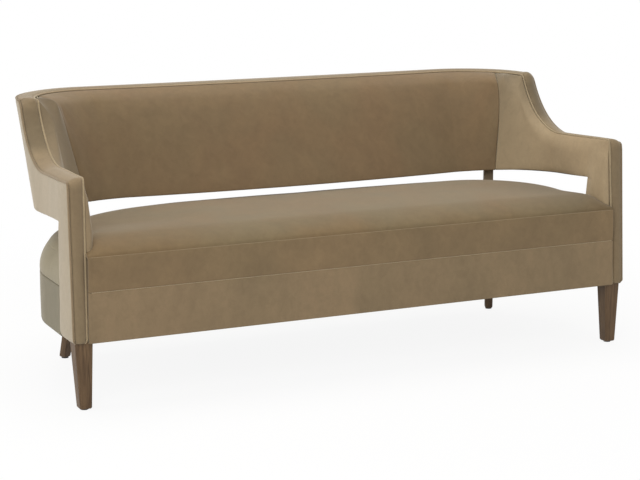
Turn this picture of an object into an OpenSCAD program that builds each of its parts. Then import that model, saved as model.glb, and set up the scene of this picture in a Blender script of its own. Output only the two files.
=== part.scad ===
// Loveseat with a wrap-around back, modelled the way it is built.
// Millimetres, Z up, Y to the rear, left and right as seen from the front.
// The origin is on the floor under the middle of the outline.

/* [Overall] */
// Half width over the stiles
half_width = 915; // [860:1:960]
// Depth from the stile fronts to the back's top edge
depth = 795; // [780:1:810]
// Height of the back's outer top edge
back_height = 818; // [805:1:835]
// Height of the back's inner top edge
inner_height = 819; // [805:1:830]
// Height of the seat's bottom edge above the floor
base_height = 194; // [180:1:205]

/* [Seat] */
// Height of the seam between the lower band and the boxing
lower_seam = 339; // [330:1:350]
// Height of the seam between the boxing and the seat top, at the front
upper_seam = 438; // [430:1:445]
// Height of the seat's crown
crown_height = 485; // [478:1:486]
// Depth of the seat unit
seat_depth = 645; // [630:1:655]
// Radius of the seat's rear corners in plan
seat_corner = 385; // [375:1:395]

/* [Arms and back] */
// Height of the band's lower edge behind the stile
band_low = 525; // [518:1:530]
// Fall of the lower edge towards the rear, per unit of depth
band_fall = 0.039; // [0:0.001:0.05]
// Height of the arm's inner edge at the front
arm_height = 659; // [645:1:670]
// Drop of the arm's outer edge below its inner edge
arm_tilt = 12; // [0:1:16]
// Depth of the stile from front to rear
stile_depth = 121; // [110:1:130]
// Lean of the stile's front towards the rear
stile_lean = 31; // [20:1:40]
// Crown of the inside back in the middle
back_crown = 36; // [24:1:50]
// Crown of the inside corners
corner_crown = 74; // [55:1:85]
// Crown of the inside arms
arm_crown = 13; // [6:1:15]
// Crown of the border strips
strip_crown = 5; // [0:1:9]
// Diameter of the piping
welt_d = 5.7; // [5:0.1:5.9]

/* [Legs] */
// Width of a front leg at the top
leg_top = 52; // [46:1:56]
// Width of a front leg at the floor
leg_foot = 35; // [30:1:40]
// Width of a rear leg at the top
rear_leg_top = 30; // [28:1:32]
// Width of a rear leg at the floor
rear_leg_foot = 26; // [26:1:29]
// Thickness of a glide
glide_t = 4; // [3:0.5:6]

/* [Hidden] */
$fn = 64;

VELVET = [0.50, 0.43, 0.33];
VELVET_LIGHT = [0.66, 0.60, 0.50];
PIPING = [0.62, 0.54, 0.42];
WALNUT = [0.29, 0.22, 0.16];
BARE_WOOD = [0.78, 0.66, 0.46];
FOAM = [0.93, 0.89, 0.72];
STEEL = [0.62, 0.63, 0.65];
CLOTH = [0.16, 0.16, 0.17];
JUTE = [0.66, 0.55, 0.36];

// Small clearances and layer thicknesses
gap = 0.5;
hem_t = 4;
cover_t = 5;
board_t = 28;
edge_t = 7;
bead = 3.2;
// Rear of the back's finished edge; the piping inside it reaches the full depth
edge_rear = depth + 2;

// Plan curves of the band: half width, rear y, corner radius, forward bow of
// the middle, share of the corner before the panel seam, flare at the stile
IN_LOW = [849, 500, 268, 35, 0.32, 2];
IN_TOP = [841, 740, 205, 22, 0.637, 28];
OUT_LOW = [907, 604, 259, 0, 0.33, 7];
OUT_TOP = [896, edge_rear, 242, 2, 0.655, 14.5];

function mix(a, b, t) = a + (b - a) * t;
function unit(p) = p / norm(p);

// Stretches of a plan curve by u: 0 to 1 back, 1 to 2 corner up to the seam,
// 2 to 3 rest of the corner, 3 to 4 arm as far as the stile
function plan(c, u) =
    let (flat = c[0] - c[2], cy = c[1] - c[2])
    u <= 1 ? [u * flat, c[1] - c[3] * (1 - u * u)]
    : u <= 3 ? let (share = u <= 2 ? (u - 1) * c[4] : mix(c[4], 1, u - 2), a = 90 * (1 - share))
        [flat + c[2] * cos(a), cy + c[2] * sin(a)]
    : [c[0] + c[5] * pow(u - 3, 2), mix(cy, stile_depth, u - 3)];

function low_z(y) = band_low - band_fall * (y - stile_depth);

// Point of the inner (side 0) or outer (side 1) skin at u and height z
function skin(side, u, z) =
    let (a = plan(side == 0 ? IN_LOW : OUT_LOW, u), b = plan(side == 0 ? IN_TOP : OUT_TOP, u),
         z0 = low_z(a[1]), z1 = side == 0 ? inner_height : back_height,
         p = mix(a, b, (z - z0) / (z1 - z0)))
    [p[0], p[1], z];

// u at which a skin has a given y at height z, by halving
function u_at(side, y, z, lo = 0.6, hi = 4, n = 22) =
    n == 0 ? (lo + hi) / 2
    : let (m = (lo + hi) / 2)
        skin(side, m, z)[1] > y ? u_at(side, y, z, m, hi, n - 1) : u_at(side, y, z, lo, m, n - 1);

// Edge of the arm in side view, from the back's top down the swoop to the stile
swoop_top_y = [517.1, 527.9];
swoop_top_z = [810, 791.9];
swoop_end_y = 290;
swoop_dir = [0.43, 0.9028];
swoop_pull = [113.6, 113.9];
swoop_foot_pull = [96.2, 103.4];
arm_fall = 0.04;
function arm_z(side, y) = arm_height - side * arm_tilt - arm_fall * (y - stile_lean);
function bezier(p, t) =
    pow(1 - t, 3) * p[0] + 3 * t * pow(1 - t, 2) * p[1] + 3 * t * t * (1 - t) * p[2] + pow(t, 3) * p[3];
function swoop_poly(side) =
    let (top = [swoop_top_y[side], swoop_top_z[side]], end = [swoop_end_y, arm_z(side, swoop_end_y)])
    [top, top - swoop_dir * swoop_pull[side], end + swoop_foot_pull[side] * [1, -arm_fall], end];
function swoop_round(side) =
    ((side == 0 ? inner_height : back_height) - swoop_top_z[side]) / (1 - swoop_dir[0]);

// Point and inward normal of that edge; q runs 0 to 1 round the top corner,
// 1 to 2 down the swoop and 2 to 3 along the arm
function edge_at(side, q) =
    q < 1 ? let (r = swoop_round(side), a = q * asin(swoop_dir[1]),
                 c = [swoop_top_y[side], swoop_top_z[side]] + r * [swoop_dir[1], -swoop_dir[0]])
            [c + r * [-sin(a), cos(a)], [sin(a), -cos(a)]]
    : q < 2 ? let (p = swoop_poly(side), t = q - 1, d = unit(bezier(p, t + 0.004) - bezier(p, t - 0.004)))
        [bezier(p, t), [-d[1], d[0]]]
    : let (y = mix(swoop_end_y, stile_depth, q - 2)) [[y, arm_z(side, y)], [0, -1]];

// Upper end of a station line, e below the finished edge, as [u, z]
function swoop_foot(side) = u_at(side, edge_at(side, 0)[0][0], side == 0 ? inner_height : back_height);
function upper_end(side, v, e) =
    v <= 2 ? [v, (side == 0 ? inner_height : back_height) - e]
    : v < 3 ? [mix(2, swoop_foot(side), v - 2), (side == 0 ? inner_height : back_height) - e]
    : let (g = edge_at(side, v - 3), p = g[0] + e * g[1]) [u_at(side, p[0], p[1]), p[1]];
// Lower end of the same line
FOOT_U = [[2, 2], [3, 2.1], [4, 2.21], [4.57, 2.53], [5, 2.78], [6, 4]];
function lower_end(v) = v <= 2 ? v : lookup(v, FOOT_U);

// Swell of the inner skin: it grows from the lower edge and rolls back to the piping at the top
function ease(x) = let (k = max(0, min(1, x))) k * k * (3 - 2 * k);
function crown_at(v) =
    v < 2 ? mix(back_crown, corner_crown, ease(v / 2)) : mix(corner_crown, arm_crown, ease((v - 2) / 1.8));
function swell(v, t) =
    let (arm = ease((v - 2) / 2), roll = mix(0.9, 0.55, arm), over = max(0, t - roll) / (1 - roll),
         x = min(1, t / 0.85), rise = mix(mix(x, ease(x), 0.6), sqrt(t), arm))
    crown_at(v) * rise * (1 - over * over);

// Point of a skin on station v, t from the lower edge to e below the upper one
function on_skin(side, v, t, e) =
    let (a = lower_end(v), b = upper_end(side, v, e), za = low_z(skin(side, a, 600)[1]))
    skin(side, mix(a, b[0], t), mix(za, b[1], t));
// Point d in from the outer skin, or from the swollen inner skin where d < 0; the corners swell forwards
function layer(v, t, d, e = edge_t) =
    let (o = on_skin(1, v, t, e), i = on_skin(0, v, t, e), n = unit(i - o),
         m = unit([n[0] * mix(0.35, 1, ease(v - 2)), n[1], n[2]]))
    d >= 0 ? o + n * d : i + m * swell(v, t) + n * d;

// Closed solid between two grids of points with the same rows and columns
module slab(a, b) {
    n = len(a);
    m = len(a[0]);
    function id(s, i, j) = (s * n + i) * m + j;
    function quad(p, q, r, s) = [[p, q, r], [p, r, s]];
    points = [for (g = [a, b]) for (row = g) for (p = row) p];
    faces = [
        for (i = [0 : n - 2]) for (j = [0 : m - 2]) each concat(
            quad(id(0, i, j), id(0, i + 1, j), id(0, i + 1, j + 1), id(0, i, j + 1)),
            quad(id(1, i, j), id(1, i, j + 1), id(1, i + 1, j + 1), id(1, i + 1, j))),
        for (i = [0 : n - 2]) each concat(
            quad(id(0, i + 1, 0), id(0, i, 0), id(1, i, 0), id(1, i + 1, 0)),
            quad(id(0, i, m - 1), id(0, i + 1, m - 1), id(1, i + 1, m - 1), id(1, i, m - 1))),
        for (j = [0 : m - 2]) each concat(
            quad(id(0, 0, j), id(0, 0, j + 1), id(1, 0, j + 1), id(1, 0, j)),
            quad(id(0, n - 1, j + 1), id(0, n - 1, j), id(1, n - 1, j), id(1, n - 1, j + 1)))];
    polyhedron(points, faces);
}

// Closed tube-like solid through rings of points, with flat ends
module skin_rings(rings) {
    n = len(rings);
    m = len(rings[0]);
    points = [for (r = rings) for (p = r) p];
    faces = [
        for (i = [0 : n - 2]) for (j = [0 : m - 1]) let (k = (j + 1) % m)
            each [[i * m + j, i * m + k, (i + 1) * m + k],
                  [i * m + j, (i + 1) * m + k, (i + 1) * m + j]],
        [for (j = [m - 1 : -1 : 0]) j],
        [for (j = [0 : m - 1]) (n - 1) * m + j]];
    polyhedron(points, faces);
}

module placed() { translate([0, -depth / 2, 0]) children(); }
module mirrored() { mirror([1, 0, 0]) children(); }

// Station lists: across the back from side to side, and from seam to stile
function flip(p) = [-p[0], p[1], p[2]];
function steps(a, b, n) = [for (i = [0 : n]) mix(a, b, i / n)];
BACK_V = concat(steps(0, 1, 5), [1.25, 1.5, 1.75, 2]);
ARM_V = concat(steps(2, 3, 5), [3.33, 3.66], steps(4, 5, 7), steps(5.25, 6, 3));
ARM_CORE_V = concat([2.03], [for (i = [1 : len(ARM_V) - 1]) ARM_V[i]]);
function both(rows) = concat([for (i = [len(rows) - 1 : -1 : 1]) [for (p = rows[i]) flip(p)]], rows);

// Rows of a panel from the lower edge up, closer together where it rolls
ROWS = [0, 0.2, 0.42, 0.62, 0.8, 0.9, 0.95, 0.98, 1];
FLAT_ROWS = steps(0, 1, 3);

// Solid of a layer of the band between two depths
module back_layer(d0, d1, rows) slab(both([for (v = BACK_V) [for (t = rows) layer(v, t, d1)]]),
                                     both([for (v = BACK_V) [for (t = rows) layer(v, t, d0)]]));
module arm_layer(d0, d1, rows) slab([for (v = ARM_V) [for (t = rows) layer(v, t, d1)]],
                                    [for (v = ARM_V) [for (t = rows) layer(v, t, d0)]]);

// Share of a station line for a height above the lower edge
function rise_share(v, h) = h / (on_skin(1, v, 1, edge_t)[2] - on_skin(1, v, 0, edge_t)[2]);
function line(v, d, t0, t1) = [for (t = [t0, t1]) layer(v, t, d)];

// Layers inside the band start above the strip that closes its underside
module core_layer(d0, d1, vs, wide, low) {
    function rows(v) = concat([rise_share(v, low)], [for (i = [1 : len(ROWS) - 1]) ROWS[i]]);
    a = [for (v = vs) [for (t = rows(v)) layer(v, t, d1)]];
    b = [for (v = vs) [for (t = rows(v)) layer(v, t, d0)]];
    slab(wide ? both(a) : a, wide ? both(b) : b);
}

// Board of the band's frame, between two heights measured from one of its edges
board_in = cover_t + 4;
module frame_board(vs, h0, h1, from_top, wide, thick) {
    function share(v, h) = from_top ? 1 - rise_share(v, h) : rise_share(v, h);
    a = [for (v = vs) line(v, board_in + thick, share(v, h0), share(v, h1))];
    b = [for (v = vs) line(v, board_in, share(v, h0), share(v, h1))];
    slab(wide ? both(a) : a, wide ? both(b) : b);
}

// Stile: outer face, piping line of the inner face and front, by height
function stile_share(z) = (z - base_height) / (arm_height - base_height);
function stile_out(z) = mix(half_width, half_width - 2.5, stile_share(z));
function stile_in(z) = mix(half_width - 44, half_width - 53, stile_share(z));
function stile_front(z) = mix(strip_crown, stile_lean, stile_share(z));
nose = 12;

// Finished edge of the border as [point, outward normal] for a side; v above 6
// runs 6 to 7 over the stile, 7 to 8 round its nose and 8 to 9 down its front
function border_edge(side, v) =
    v <= 6 ? let (p = on_skin(side, v, 1, 0), q = on_skin(side, v, 1, edge_t)) [p, unit(p - q)]
    : let (yc = stile_lean + nose, zc = arm_z(side, yc) - nose, a = 90 * (v - 7),
           y = v <= 7 ? mix(stile_depth, yc, v - 6) : v <= 8 ? yc - nose * sin(a) : undef,
           z = v <= 7 ? arm_z(side, y) : v <= 8 ? zc + nose * cos(a) : mix(zc, base_height, v - 8),
           x0 = side == 0 ? stile_in(z) : stile_out(z),
           x = v <= 7 ? mix(skin(side, 4, z)[0], x0, v - 6) : x0)
        [[x, v <= 8 ? y : stile_front(z), z],
         v <= 7 ? [0, 0, 1] : v <= 8 ? [0, -sin(a), cos(a)] : [0, -1, 0]];

// Border strip with its crown, between the two beads
crown_shape = [[0, 0], [0.2, 0.72], [0.5, 1], [0.8, 0.72], [1, 0]];
function border_ring(v) =
    let (i = border_edge(0, v), o = border_edge(1, v), n = unit(i[1] + o[1]), w = unit(o[0] - i[0]),
         a = i[0] + w * edge_t, b = o[0] - w * edge_t)
    concat([for (c = crown_shape) mix(a, b, c[0]) + n * strip_crown * c[1]],
           [b - n * (edge_t - gap), a - n * (edge_t - gap)]);

// Piping on one edge of the border
function welt_ring(side, v) =
    let (i = border_edge(0, v), o = border_edge(1, v), n = unit(i[1] + o[1]), w = unit(o[0] - i[0]),
         c = (side == 0 ? i[0] + w * bead : o[0] - w * bead) - n * bead)
    [for (a = [0 : 60 : 359]) c + welt_d / 2 * (cos(a) * w - sin(a) * n)];
NOSE_V = [7, 7.33, 7.67, 8, 9];
WELT_V = concat(ARM_V, NOSE_V);
BORDER_BACK_V = concat(BACK_V, steps(2.2, 3, 4), [3.33]);
BORDER_ARM_V = concat([3.36, 3.66], steps(4, 5, 7), steps(5.25, 6, 3), NOSE_V);

module back_border() color(VELVET) placed() skin_rings(both([for (v = BORDER_BACK_V) border_ring(v)]));
module arm_border() color(VELVET) placed() skin_rings([for (v = BORDER_ARM_V) border_ring(v)]);
module back_welt(side) color(PIPING) placed() skin_rings(both([for (v = BACK_V) welt_ring(side, v)]));
module arm_welt(side) color(PIPING) placed() skin_rings([for (v = WELT_V) welt_ring(side, v)]);

// Panels of the band
module inside_back() color(VELVET) placed() back_layer(-cover_t, -0.001, ROWS);
module outside_back() color(VELVET_LIGHT) placed() back_layer(0, cover_t, FLAT_ROWS);
pad_low = 468;
pad_round = 0.22;
function stile_y(k, z) = mix(stile_front(z) + edge_t + gap, stile_depth, k);
function inner_face(k, t, d) =
    let (z = mix(pad_low, arm_z(0, stile_depth) - edge_t, t), e = skin(0, 4, z)[0] - swell(6, t))
    [mix(stile_in(z), e, pow(sin(90 * k), pad_round)) + d, stile_y(k, z), z];
module inside_arm() color(VELVET) placed() {
    arm_layer(-cover_t, -0.001, ROWS);
    columns = [0, 0.03, 0.1, 0.3, 1];
    slab([for (k = columns) [for (t = ROWS) inner_face(k, t, cover_t)]],
         [for (k = columns) [for (t = ROWS) inner_face(k, t, 0)]]);
}
function outer_face(k, t, d) = let (z = mix(base_height, arm_z(1, stile_depth) - edge_t, t))
    [stile_out(z) - d, stile_y(k, z), z];
module outside_arm() color(VELVET_LIGHT) placed() {
    arm_layer(0, cover_t, FLAT_ROWS);
    slab([for (k = [1.02, 0]) [for (t = FLAT_ROWS) outer_face(k, t, cover_t)]],
         [for (k = [1.02, 0]) [for (t = FLAT_ROWS) outer_face(k, t, 0)]]);
}
function hem(v, h) = [for (d = [-cover_t - gap, cover_t + gap]) layer(v, rise_share(v, h), d)];
module underside_strip() color(CLOTH) placed() {
    vs = concat(BACK_V, [for (i = [1 : len(ARM_V) - 1]) ARM_V[i]]);
    difference() {
        slab(both([for (v = vs) hem(v, 0)]), both([for (v = vs) hem(v, hem_t)]));
        post_bolt_holes();
    }
}

// Frame, webbing and foam of the band
rail_h = 55;
module back_top_rail() color(BARE_WOOD) placed() frame_board(BACK_V, rail_h, 1, true, true, board_t);
// Board under the back, on which the posts are bolted
base_board_t = 22;
function board_line(v, h) =
    let (t = rise_share(v, hem_t + 1 + h)) [layer(v, t, -cover_t - 1), layer(v, t, board_in)];
module back_bottom_rail() color(BARE_WOOD) placed() difference() {
    slab(both([for (v = BACK_V) board_line(v, 0)]), both([for (v = BACK_V) board_line(v, base_board_t)]));
    post_bolt_holes();
}
module post_bolt_holes() for (s = [-1, 1]) translate([s * rear_post_at[0], rear_post_at[1], post_top - 60])
    cylinder(r = bolt_r + 0.2, h = 120);
function upright_line(v, d) =
    line(v, d, rise_share(v, hem_t + base_board_t + 3 * gap), 1 - rise_share(v, rail_h + gap));
module upright(v) slab([for (w = [v - 0.05, v + 0.05]) upright_line(w, board_in + board_t)],
                       [for (w = [v - 0.05, v + 0.05]) upright_line(w, board_in)]);
module back_uprights() color(BARE_WOOD) placed() for (v = [0.1, 0.5, 0.95, 1.9]) {
    upright(v);
    mirrored() upright(v);
}
arm_rail_h = 34;
arm_board_t = 20;
module arm_frame() color(BARE_WOOD) placed() {
    frame_board(ARM_CORE_V, hem_t + 1, arm_rail_h, false, false, arm_board_t);
    frame_board(ARM_CORE_V, arm_rail_h, 2.5, true, false, arm_board_t);
}
module back_webbing() color(JUTE) placed() for (t = [0.3, 0.5, 0.7]) {
    a = both([for (v = BACK_V) line(v, board_in + board_t + 2.4, t - 0.075, t + 0.075)]);
    b = both([for (v = BACK_V) line(v, board_in + board_t + 2 * gap, t - 0.075, t + 0.075)]);
    slab(a, b);
}
foam_back = board_in + board_t + 3.5;
module back_foam() color(FOAM) placed()
    core_layer(foam_back, -cover_t - 5, BACK_V, true, hem_t + base_board_t + 2);
module arm_foam() color(FOAM) placed()
    core_layer(board_in + arm_board_t + 2, -cover_t - 3, ARM_CORE_V, false, hem_t + 1);

// Seat plan: straight front and sides, round rear corners
module seat_plan(inset) {
    flat = half_width - seat_corner;
    cy = seat_depth - seat_corner;
    translate([-half_width + inset, inset]) square([2 * (half_width - inset), cy - inset]);
    translate([-flat, inset]) square([2 * flat, seat_depth - 2 * inset]);
    for (s = [-1, 1]) translate([s * flat, cy]) intersection() {
        circle(seat_corner - inset, $fn = 96);
        translate([-1000, 0]) square([2000, 1000]);
    }
}
module seat_ring(inset, thick, z0, z1, y0, y1 = 1000) translate([0, 0, z0]) linear_extrude(z1 - z0)
    intersection() {
        difference() { seat_plan(inset); seat_plan(inset + thick); }
        translate([-1000, y0]) square([2000, y1 - y0]);
    }
rail_low = base_height + 8;
rail_top = 330;
seat_rail_t = 24;
rail_inset = cover_t + 1;
side_end = seat_depth - seat_corner;
post_in = half_width - 43;
panel_end = stile_depth + 3;
// Panel of the seat's front, from stile to stile
module front_panel(z0, z1) translate([0, cover_t, 0]) rotate([90, 0, 0]) linear_extrude(cover_t)
    polygon([[-stile_in(z0), z0], [stile_in(z0), z0], [stile_in(z1), z1], [-stile_in(z1), z1]]);
module lower_band_front() color(VELVET) placed() front_panel(base_height, lower_seam - gap);
module lower_band_surround() color(VELVET) placed()
    seat_ring(0, cover_t, base_height, lower_seam - gap, panel_end);
module front_rail() color(BARE_WOOD) placed()
    translate([-post_in + 8, rail_inset, rail_low]) cube([2 * (post_in - 8), board_t, rail_top - rail_low]);
module side_rail() color(BARE_WOOD) placed() intersection() {
    seat_ring(rail_inset, seat_rail_t, rail_low, rail_top, stile_depth, side_end);
    cube([1000, 1000, 1000]);
}
module rear_rail() color(BARE_WOOD) placed() difference() {
    seat_ring(rail_inset, seat_rail_t, rail_low, rail_top, side_end + gap);
    for (s = [0, 1]) mirror([s, 0, 0]) {
        translate([rear_leg_at[0], rear_leg_at[1], 0]) cylinder(r = bolt_r + 0.2, h = rail_low + 60);
        rail_bolts(bolt_r + 0.2, 60);
    }
}
stretcher_x = 290;
stretcher_t = 22;
module stretchers() color(BARE_WOOD) placed() for (s = [-1, 1])
    translate([s * stretcher_x - stretcher_t / 2, rail_inset + board_t + gap, rail_low])
        cube([stretcher_t, seat_depth - 2 * rail_inset - board_t - seat_rail_t - 2 * gap, 80]);
block_leg = 70;
module corner_blocks() color(BARE_WOOD) placed() for (s = [0, 1]) mirror([s, 0, 0]) {
    translate([post_in - 2 * gap, rail_inset + board_t + gap, rail_low]) linear_extrude(block_leg)
        polygon([[0, 0], [-block_leg, 0], [0, block_leg]]);
    translate([half_width - rail_inset - seat_rail_t - gap, stile_depth + 30, rail_low])
        linear_extrude(block_leg) polygon([[0, 0], [-block_leg / 2, 0], [0, block_leg]]);
}

// Zigzag springs from the front rail to the rear rail
spring_wire = 3.6;
spring_pitch = 24;
spring_half = 20;
spring_y0 = 20;
spring_y1 = seat_depth - 22;
spring_x = [for (i = [-6 : 6]) i * 104];
function spring_end(x) = let (over = abs(x) - (half_width - seat_corner))
    over <= 0 ? spring_y1 : side_end + sqrt(pow(seat_corner - 22, 2) - over * over);
module spring(x) {
    n = floor((spring_end(x) - spring_y0) / spring_pitch);
    step = (spring_end(x) - spring_y0) / n;
    module run(k) translate([-spring_half, spring_y0 + k * step - spring_wire / 2])
        square([2 * spring_half, spring_wire]);
    module turn(k) translate([(k % 2 == 0 ? 1 : -1) * spring_half, spring_y0 + (k + 0.5) * step])
        intersection() {
            difference() {
                circle(step / 2 + spring_wire / 2, $fn = 24);
                circle(step / 2 - spring_wire / 2, $fn = 24);
            }
            translate([k % 2 == 0 ? 0 : -50, -50]) square([50, 100]);
        }
    translate([x, 0, rail_top + 1]) linear_extrude(spring_wire) {
        for (k = [0 : n]) run(k);
        for (k = [0 : n - 1]) turn(k);
    }
}
module seat_springs() color(STEEL) placed() for (x = spring_x) spring(x);
module spring_clips() color(STEEL) placed() for (x = spring_x) for (y = [spring_y0, spring_end(x)])
    translate([x - 9, y - 7, rail_top]) cube([18, 14, 0.9]);

// Soft parts of the seat
cloth_z = rail_top + 6;
rear_post_w = 31;
rear_post_at = [723, 535.5];
// Square bar in the corner, turned to face the middle of the front
rear_turn = 25;
module turned_bar(at, w, z0, z1) translate([at[0], at[1], z0]) rotate([0, 0, -rear_turn])
    translate([-w / 2, -w / 2, 0]) cube([w, w, z1 - z0]);
module post_holes(z0) for (s = [0, 1]) mirror([s, 0, 0])
    turned_bar(rear_post_at, rear_post_w + 6 * gap, z0, post_top);
module spring_cover() color(CLOTH) placed() difference() {
    translate([0, 0, cloth_z]) linear_extrude(1.5) intersection() {
        seat_plan(rail_inset + 2);
        translate([-post_in + 8, rail_inset]) square([2 * (post_in - 8), 1000]);
    }
    post_holes(cloth_z - 1);
}
// Surface of the seat top: it rolls up from the sides and rear, and from the front's seam
roll_low = 348;
roll_side = 160;
roll_rear = 180;
roll_front = 110;
roll_power = 1.94;
crown_rise = 8;
// Narrower roll of the sides beside the stiles
roll_stile = 100;
seat_mid = [0, 300];
function roll(o, w) = pow(1 - pow(1 - max(0, min(1, o / w)), roll_power), 1 / roll_power);
function side_z(o, w) = roll_low + (crown_height - crown_rise - roll_low) * roll(o, w);
function arc_roll(a) = mix(roll_side, roll_rear, ease(a / 90));
function side_roll(y) = mix(roll_stile, roll_side, ease((y - stile_depth / 2) / 150));
function seat_z(x, y) =
    let (u = abs(x) - (half_width - seat_corner), w = y - side_end,
         edge = w <= 0 ? [half_width - abs(x), side_roll(y)] : u <= 0 ? [seat_depth - y, roll_rear]
             : [seat_corner - norm([u, w]), arc_roll(atan2(w, u))],
         crown = (1 - pow(x / half_width, 2)) * (1 - pow((y - seat_mid[1]) / (seat_depth - seat_mid[1]), 2)))
    mix(upper_seam + gap, side_z(edge[0], edge[1]) + crown_rise * crown, roll(y - cover_t - gap, roll_front));

// Outline of the seat top, from the rear middle round the right side to the front
top_inset = 28;
function seat_arc(a, inset) = let (r = seat_corner - inset)
    [half_width - seat_corner + r * cos(a), side_end + r * sin(a)];
function half_outline(inset) =
    concat([for (x = steps(0, half_width - seat_corner, 4)) [x, seat_depth - inset]],
           [for (a = steps(81, 0, 9)) seat_arc(a, inset)],
           [[half_width - inset, 200], [half_width - inset, panel_end], [post_in - 8, stile_depth + 1],
            [post_in - 8, 60], [post_in - 8, cover_t + 2 * gap]],
           [for (x = [post_in - 40, 640, 430, 215, 0]) [x, cover_t + gap]]);
function outline(inset) = let (h = half_outline(inset))
    concat(h, [for (i = [len(h) - 2 : -1 : 1]) [-h[i][0], h[i][1]]]);
RINGS = [1, 0.985, 0.965, 0.94, 0.9, 0.83, 0.7, 0.5, 0.28];
FOAM_RINGS = [for (i = [1 : len(RINGS) - 1]) RINGS[i]];
function dome_ring(r, drop, inset) = [for (p = outline(inset)) let (e = seat_mid + r * (p - seat_mid))
    [e[0], e[1], seat_z(e[0], e[1]) - drop]];
function dome_mid(drop) = [0, seat_mid[1], crown_height - drop];
// Closed dome: upper rings to a centre point, lower rings back to the rim
module dome(top, bottom, top_mid, low_mid) {
    n = len(top);
    m = len(top[0]);
    nb = len(bottom);
    points = concat([for (r = top) each r], [top_mid], [for (r = bottom) each r], [low_mid]);
    b0 = n * m + 1;
    function strip(o, i, up) = [for (j = [0 : m - 1]) let (k = (j + 1) % m,
        a = o + i * m + j, b = o + i * m + k, c = o + (i + 1) * m + k, d = o + (i + 1) * m + j)
        each (up ? [[a, b, c], [a, c, d]] : [[a, c, b], [a, d, c]])];
    faces = [
        for (i = [0 : n - 2]) each strip(0, i, true),
        for (j = [0 : m - 1]) [(n - 1) * m + j, (n - 1) * m + (j + 1) % m, n * m],
        for (i = [0 : 1 : nb - 2]) each strip(b0, i, false),
        for (j = [0 : m - 1]) [b0 + (nb - 1) * m + (j + 1) % m, b0 + (nb - 1) * m + j, b0 + nb * m],
        for (j = [0 : m - 1]) let (k = (j + 1) % m) each [[j, b0 + j, b0 + k], [j, b0 + k, k]]];
    polyhedron(points, faces);
}
top_t = 9;
module seat_top() color(VELVET) placed() difference() {
    dome([for (r = RINGS) dome_ring(r, 0, top_inset)], [for (r = RINGS) dome_ring(r, top_t, top_inset)],
         dome_mid(0), dome_mid(top_t));
    post_holes(380);
}
module seat_foam() color(FOAM) placed() difference() {
    drop = top_t + 3 * gap;
    rim = dome_ring(FOAM_RINGS[0], drop, top_inset + 2);
    dome([for (r = FOAM_RINGS) dome_ring(r, drop, top_inset + 2)],
         [[for (p = rim) [p[0], p[1], cloth_z + 2]]], dome_mid(drop), [0, seat_mid[1], cloth_z + 2]);
    post_holes(300);
}
module boxing_front() color(VELVET) placed() front_panel(lower_seam, upper_seam - gap);
// Boxing round the sides and rear as [inset, thickness], rolled in under the edge of the top
BOXING = [[0, 5], [0.5, 5], [2, 5], [6, 5], [12, 5], [19, 4.5], [25, 2.4]];
function boxing_row(p, n, w, d) = [for (i = [0 : len(BOXING) - 1]) let (b = BOXING[i], k = b[0] + d * b[1])
    [p[0] - n[0] * k, p[1] - n[1] * k, i == 0 ? lower_seam + gap : side_z(b[0], w)]];
function boxing_rows(d) = concat(
    [for (y = [panel_end, 190]) boxing_row([half_width, y], [1, 0], side_roll(y), d)],
    [for (a = steps(0, 90, 9)) boxing_row(seat_arc(a, 0), [cos(a), sin(a)], arc_roll(a), d)],
    [for (x = [290, 0]) boxing_row([x, seat_depth], [0, 1], roll_rear, d)]);
function whole(r) = concat(r, [for (i = [len(r) - 2 : -1 : 0]) [for (p = r[i]) flip(p)]]);
module boxing_surround() color(VELVET) placed() slab(whole(boxing_rows(0)), whole(boxing_rows(1)));
module dust_cover() color(CLOTH) placed() difference() {
    translate([0, 0, base_height + 0.5]) linear_extrude(1.2) seat_plan(cover_t + 0.5);
    for (s = [-1, 1]) {
        translate([s * front_leg_x - 30, leg_front - 4, 0]) cube([60, 60, 300]);
        translate([s > 0 ? post_in - 14 : -1000, -1, 0]) cube([1000 - post_in + 14, stile_depth + 1.6, 300]);
    }
    for (s = [0, 1]) mirror([s, 0, 0]) turned_bar(rear_leg_at, rear_leg_top + 4, 0, rail_low);
}

// Posts, legs, glides and bolts
module stile_post() color(BARE_WOOD) placed() difference() {
    translate([post_in, 0, 0]) rotate([90, 0, 90]) linear_extrude(34) polygon([
        [stile_front(base_height) + edge_t + 1, base_height + 2], [stile_depth - 1, base_height + 2],
        [stile_depth - 1, arm_z(1, stile_depth) - edge_t - 1],
        [stile_lean + nose, arm_z(1, stile_lean) - edge_t - 1],
        [stile_front(arm_height) + edge_t + 1, arm_z(1, stile_lean) - edge_t - nose]]);
    translate([front_leg_x, leg_front + leg_top / 2, 0]) cylinder(r = bolt_r + 0.2, h = base_height + 60);
}
module rear_post() color(WALNUT) placed() difference() {
    turned_bar(rear_post_at, rear_post_w, rail_low, post_top);
    post_bolt_holes();
    rail_bolts(bolt_r + 0.2, 60);
}
bolt_r = 4;
post_top = 505.5;
front_leg_x = 889;
leg_front = 13.5;
rear_leg_at = [743, 551];
rear_foot_at = [765, 587];
// Bolts through the rear rail into a post, square to the rail's curve
corner_at = [half_width - seat_corner, side_end];
module rail_bolts(r, length) translate([corner_at[0], corner_at[1], 0])
    rotate([0, 0, atan2(rear_post_at[1] - corner_at[1], rear_post_at[0] - corner_at[0])])
        for (z = [rail_low + 58, rail_top - 30]) translate([seat_corner - rail_inset - 3 - length, 0, z])
            rotate([0, 90, 0]) cylinder(r = r, h = length + 10);
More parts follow.
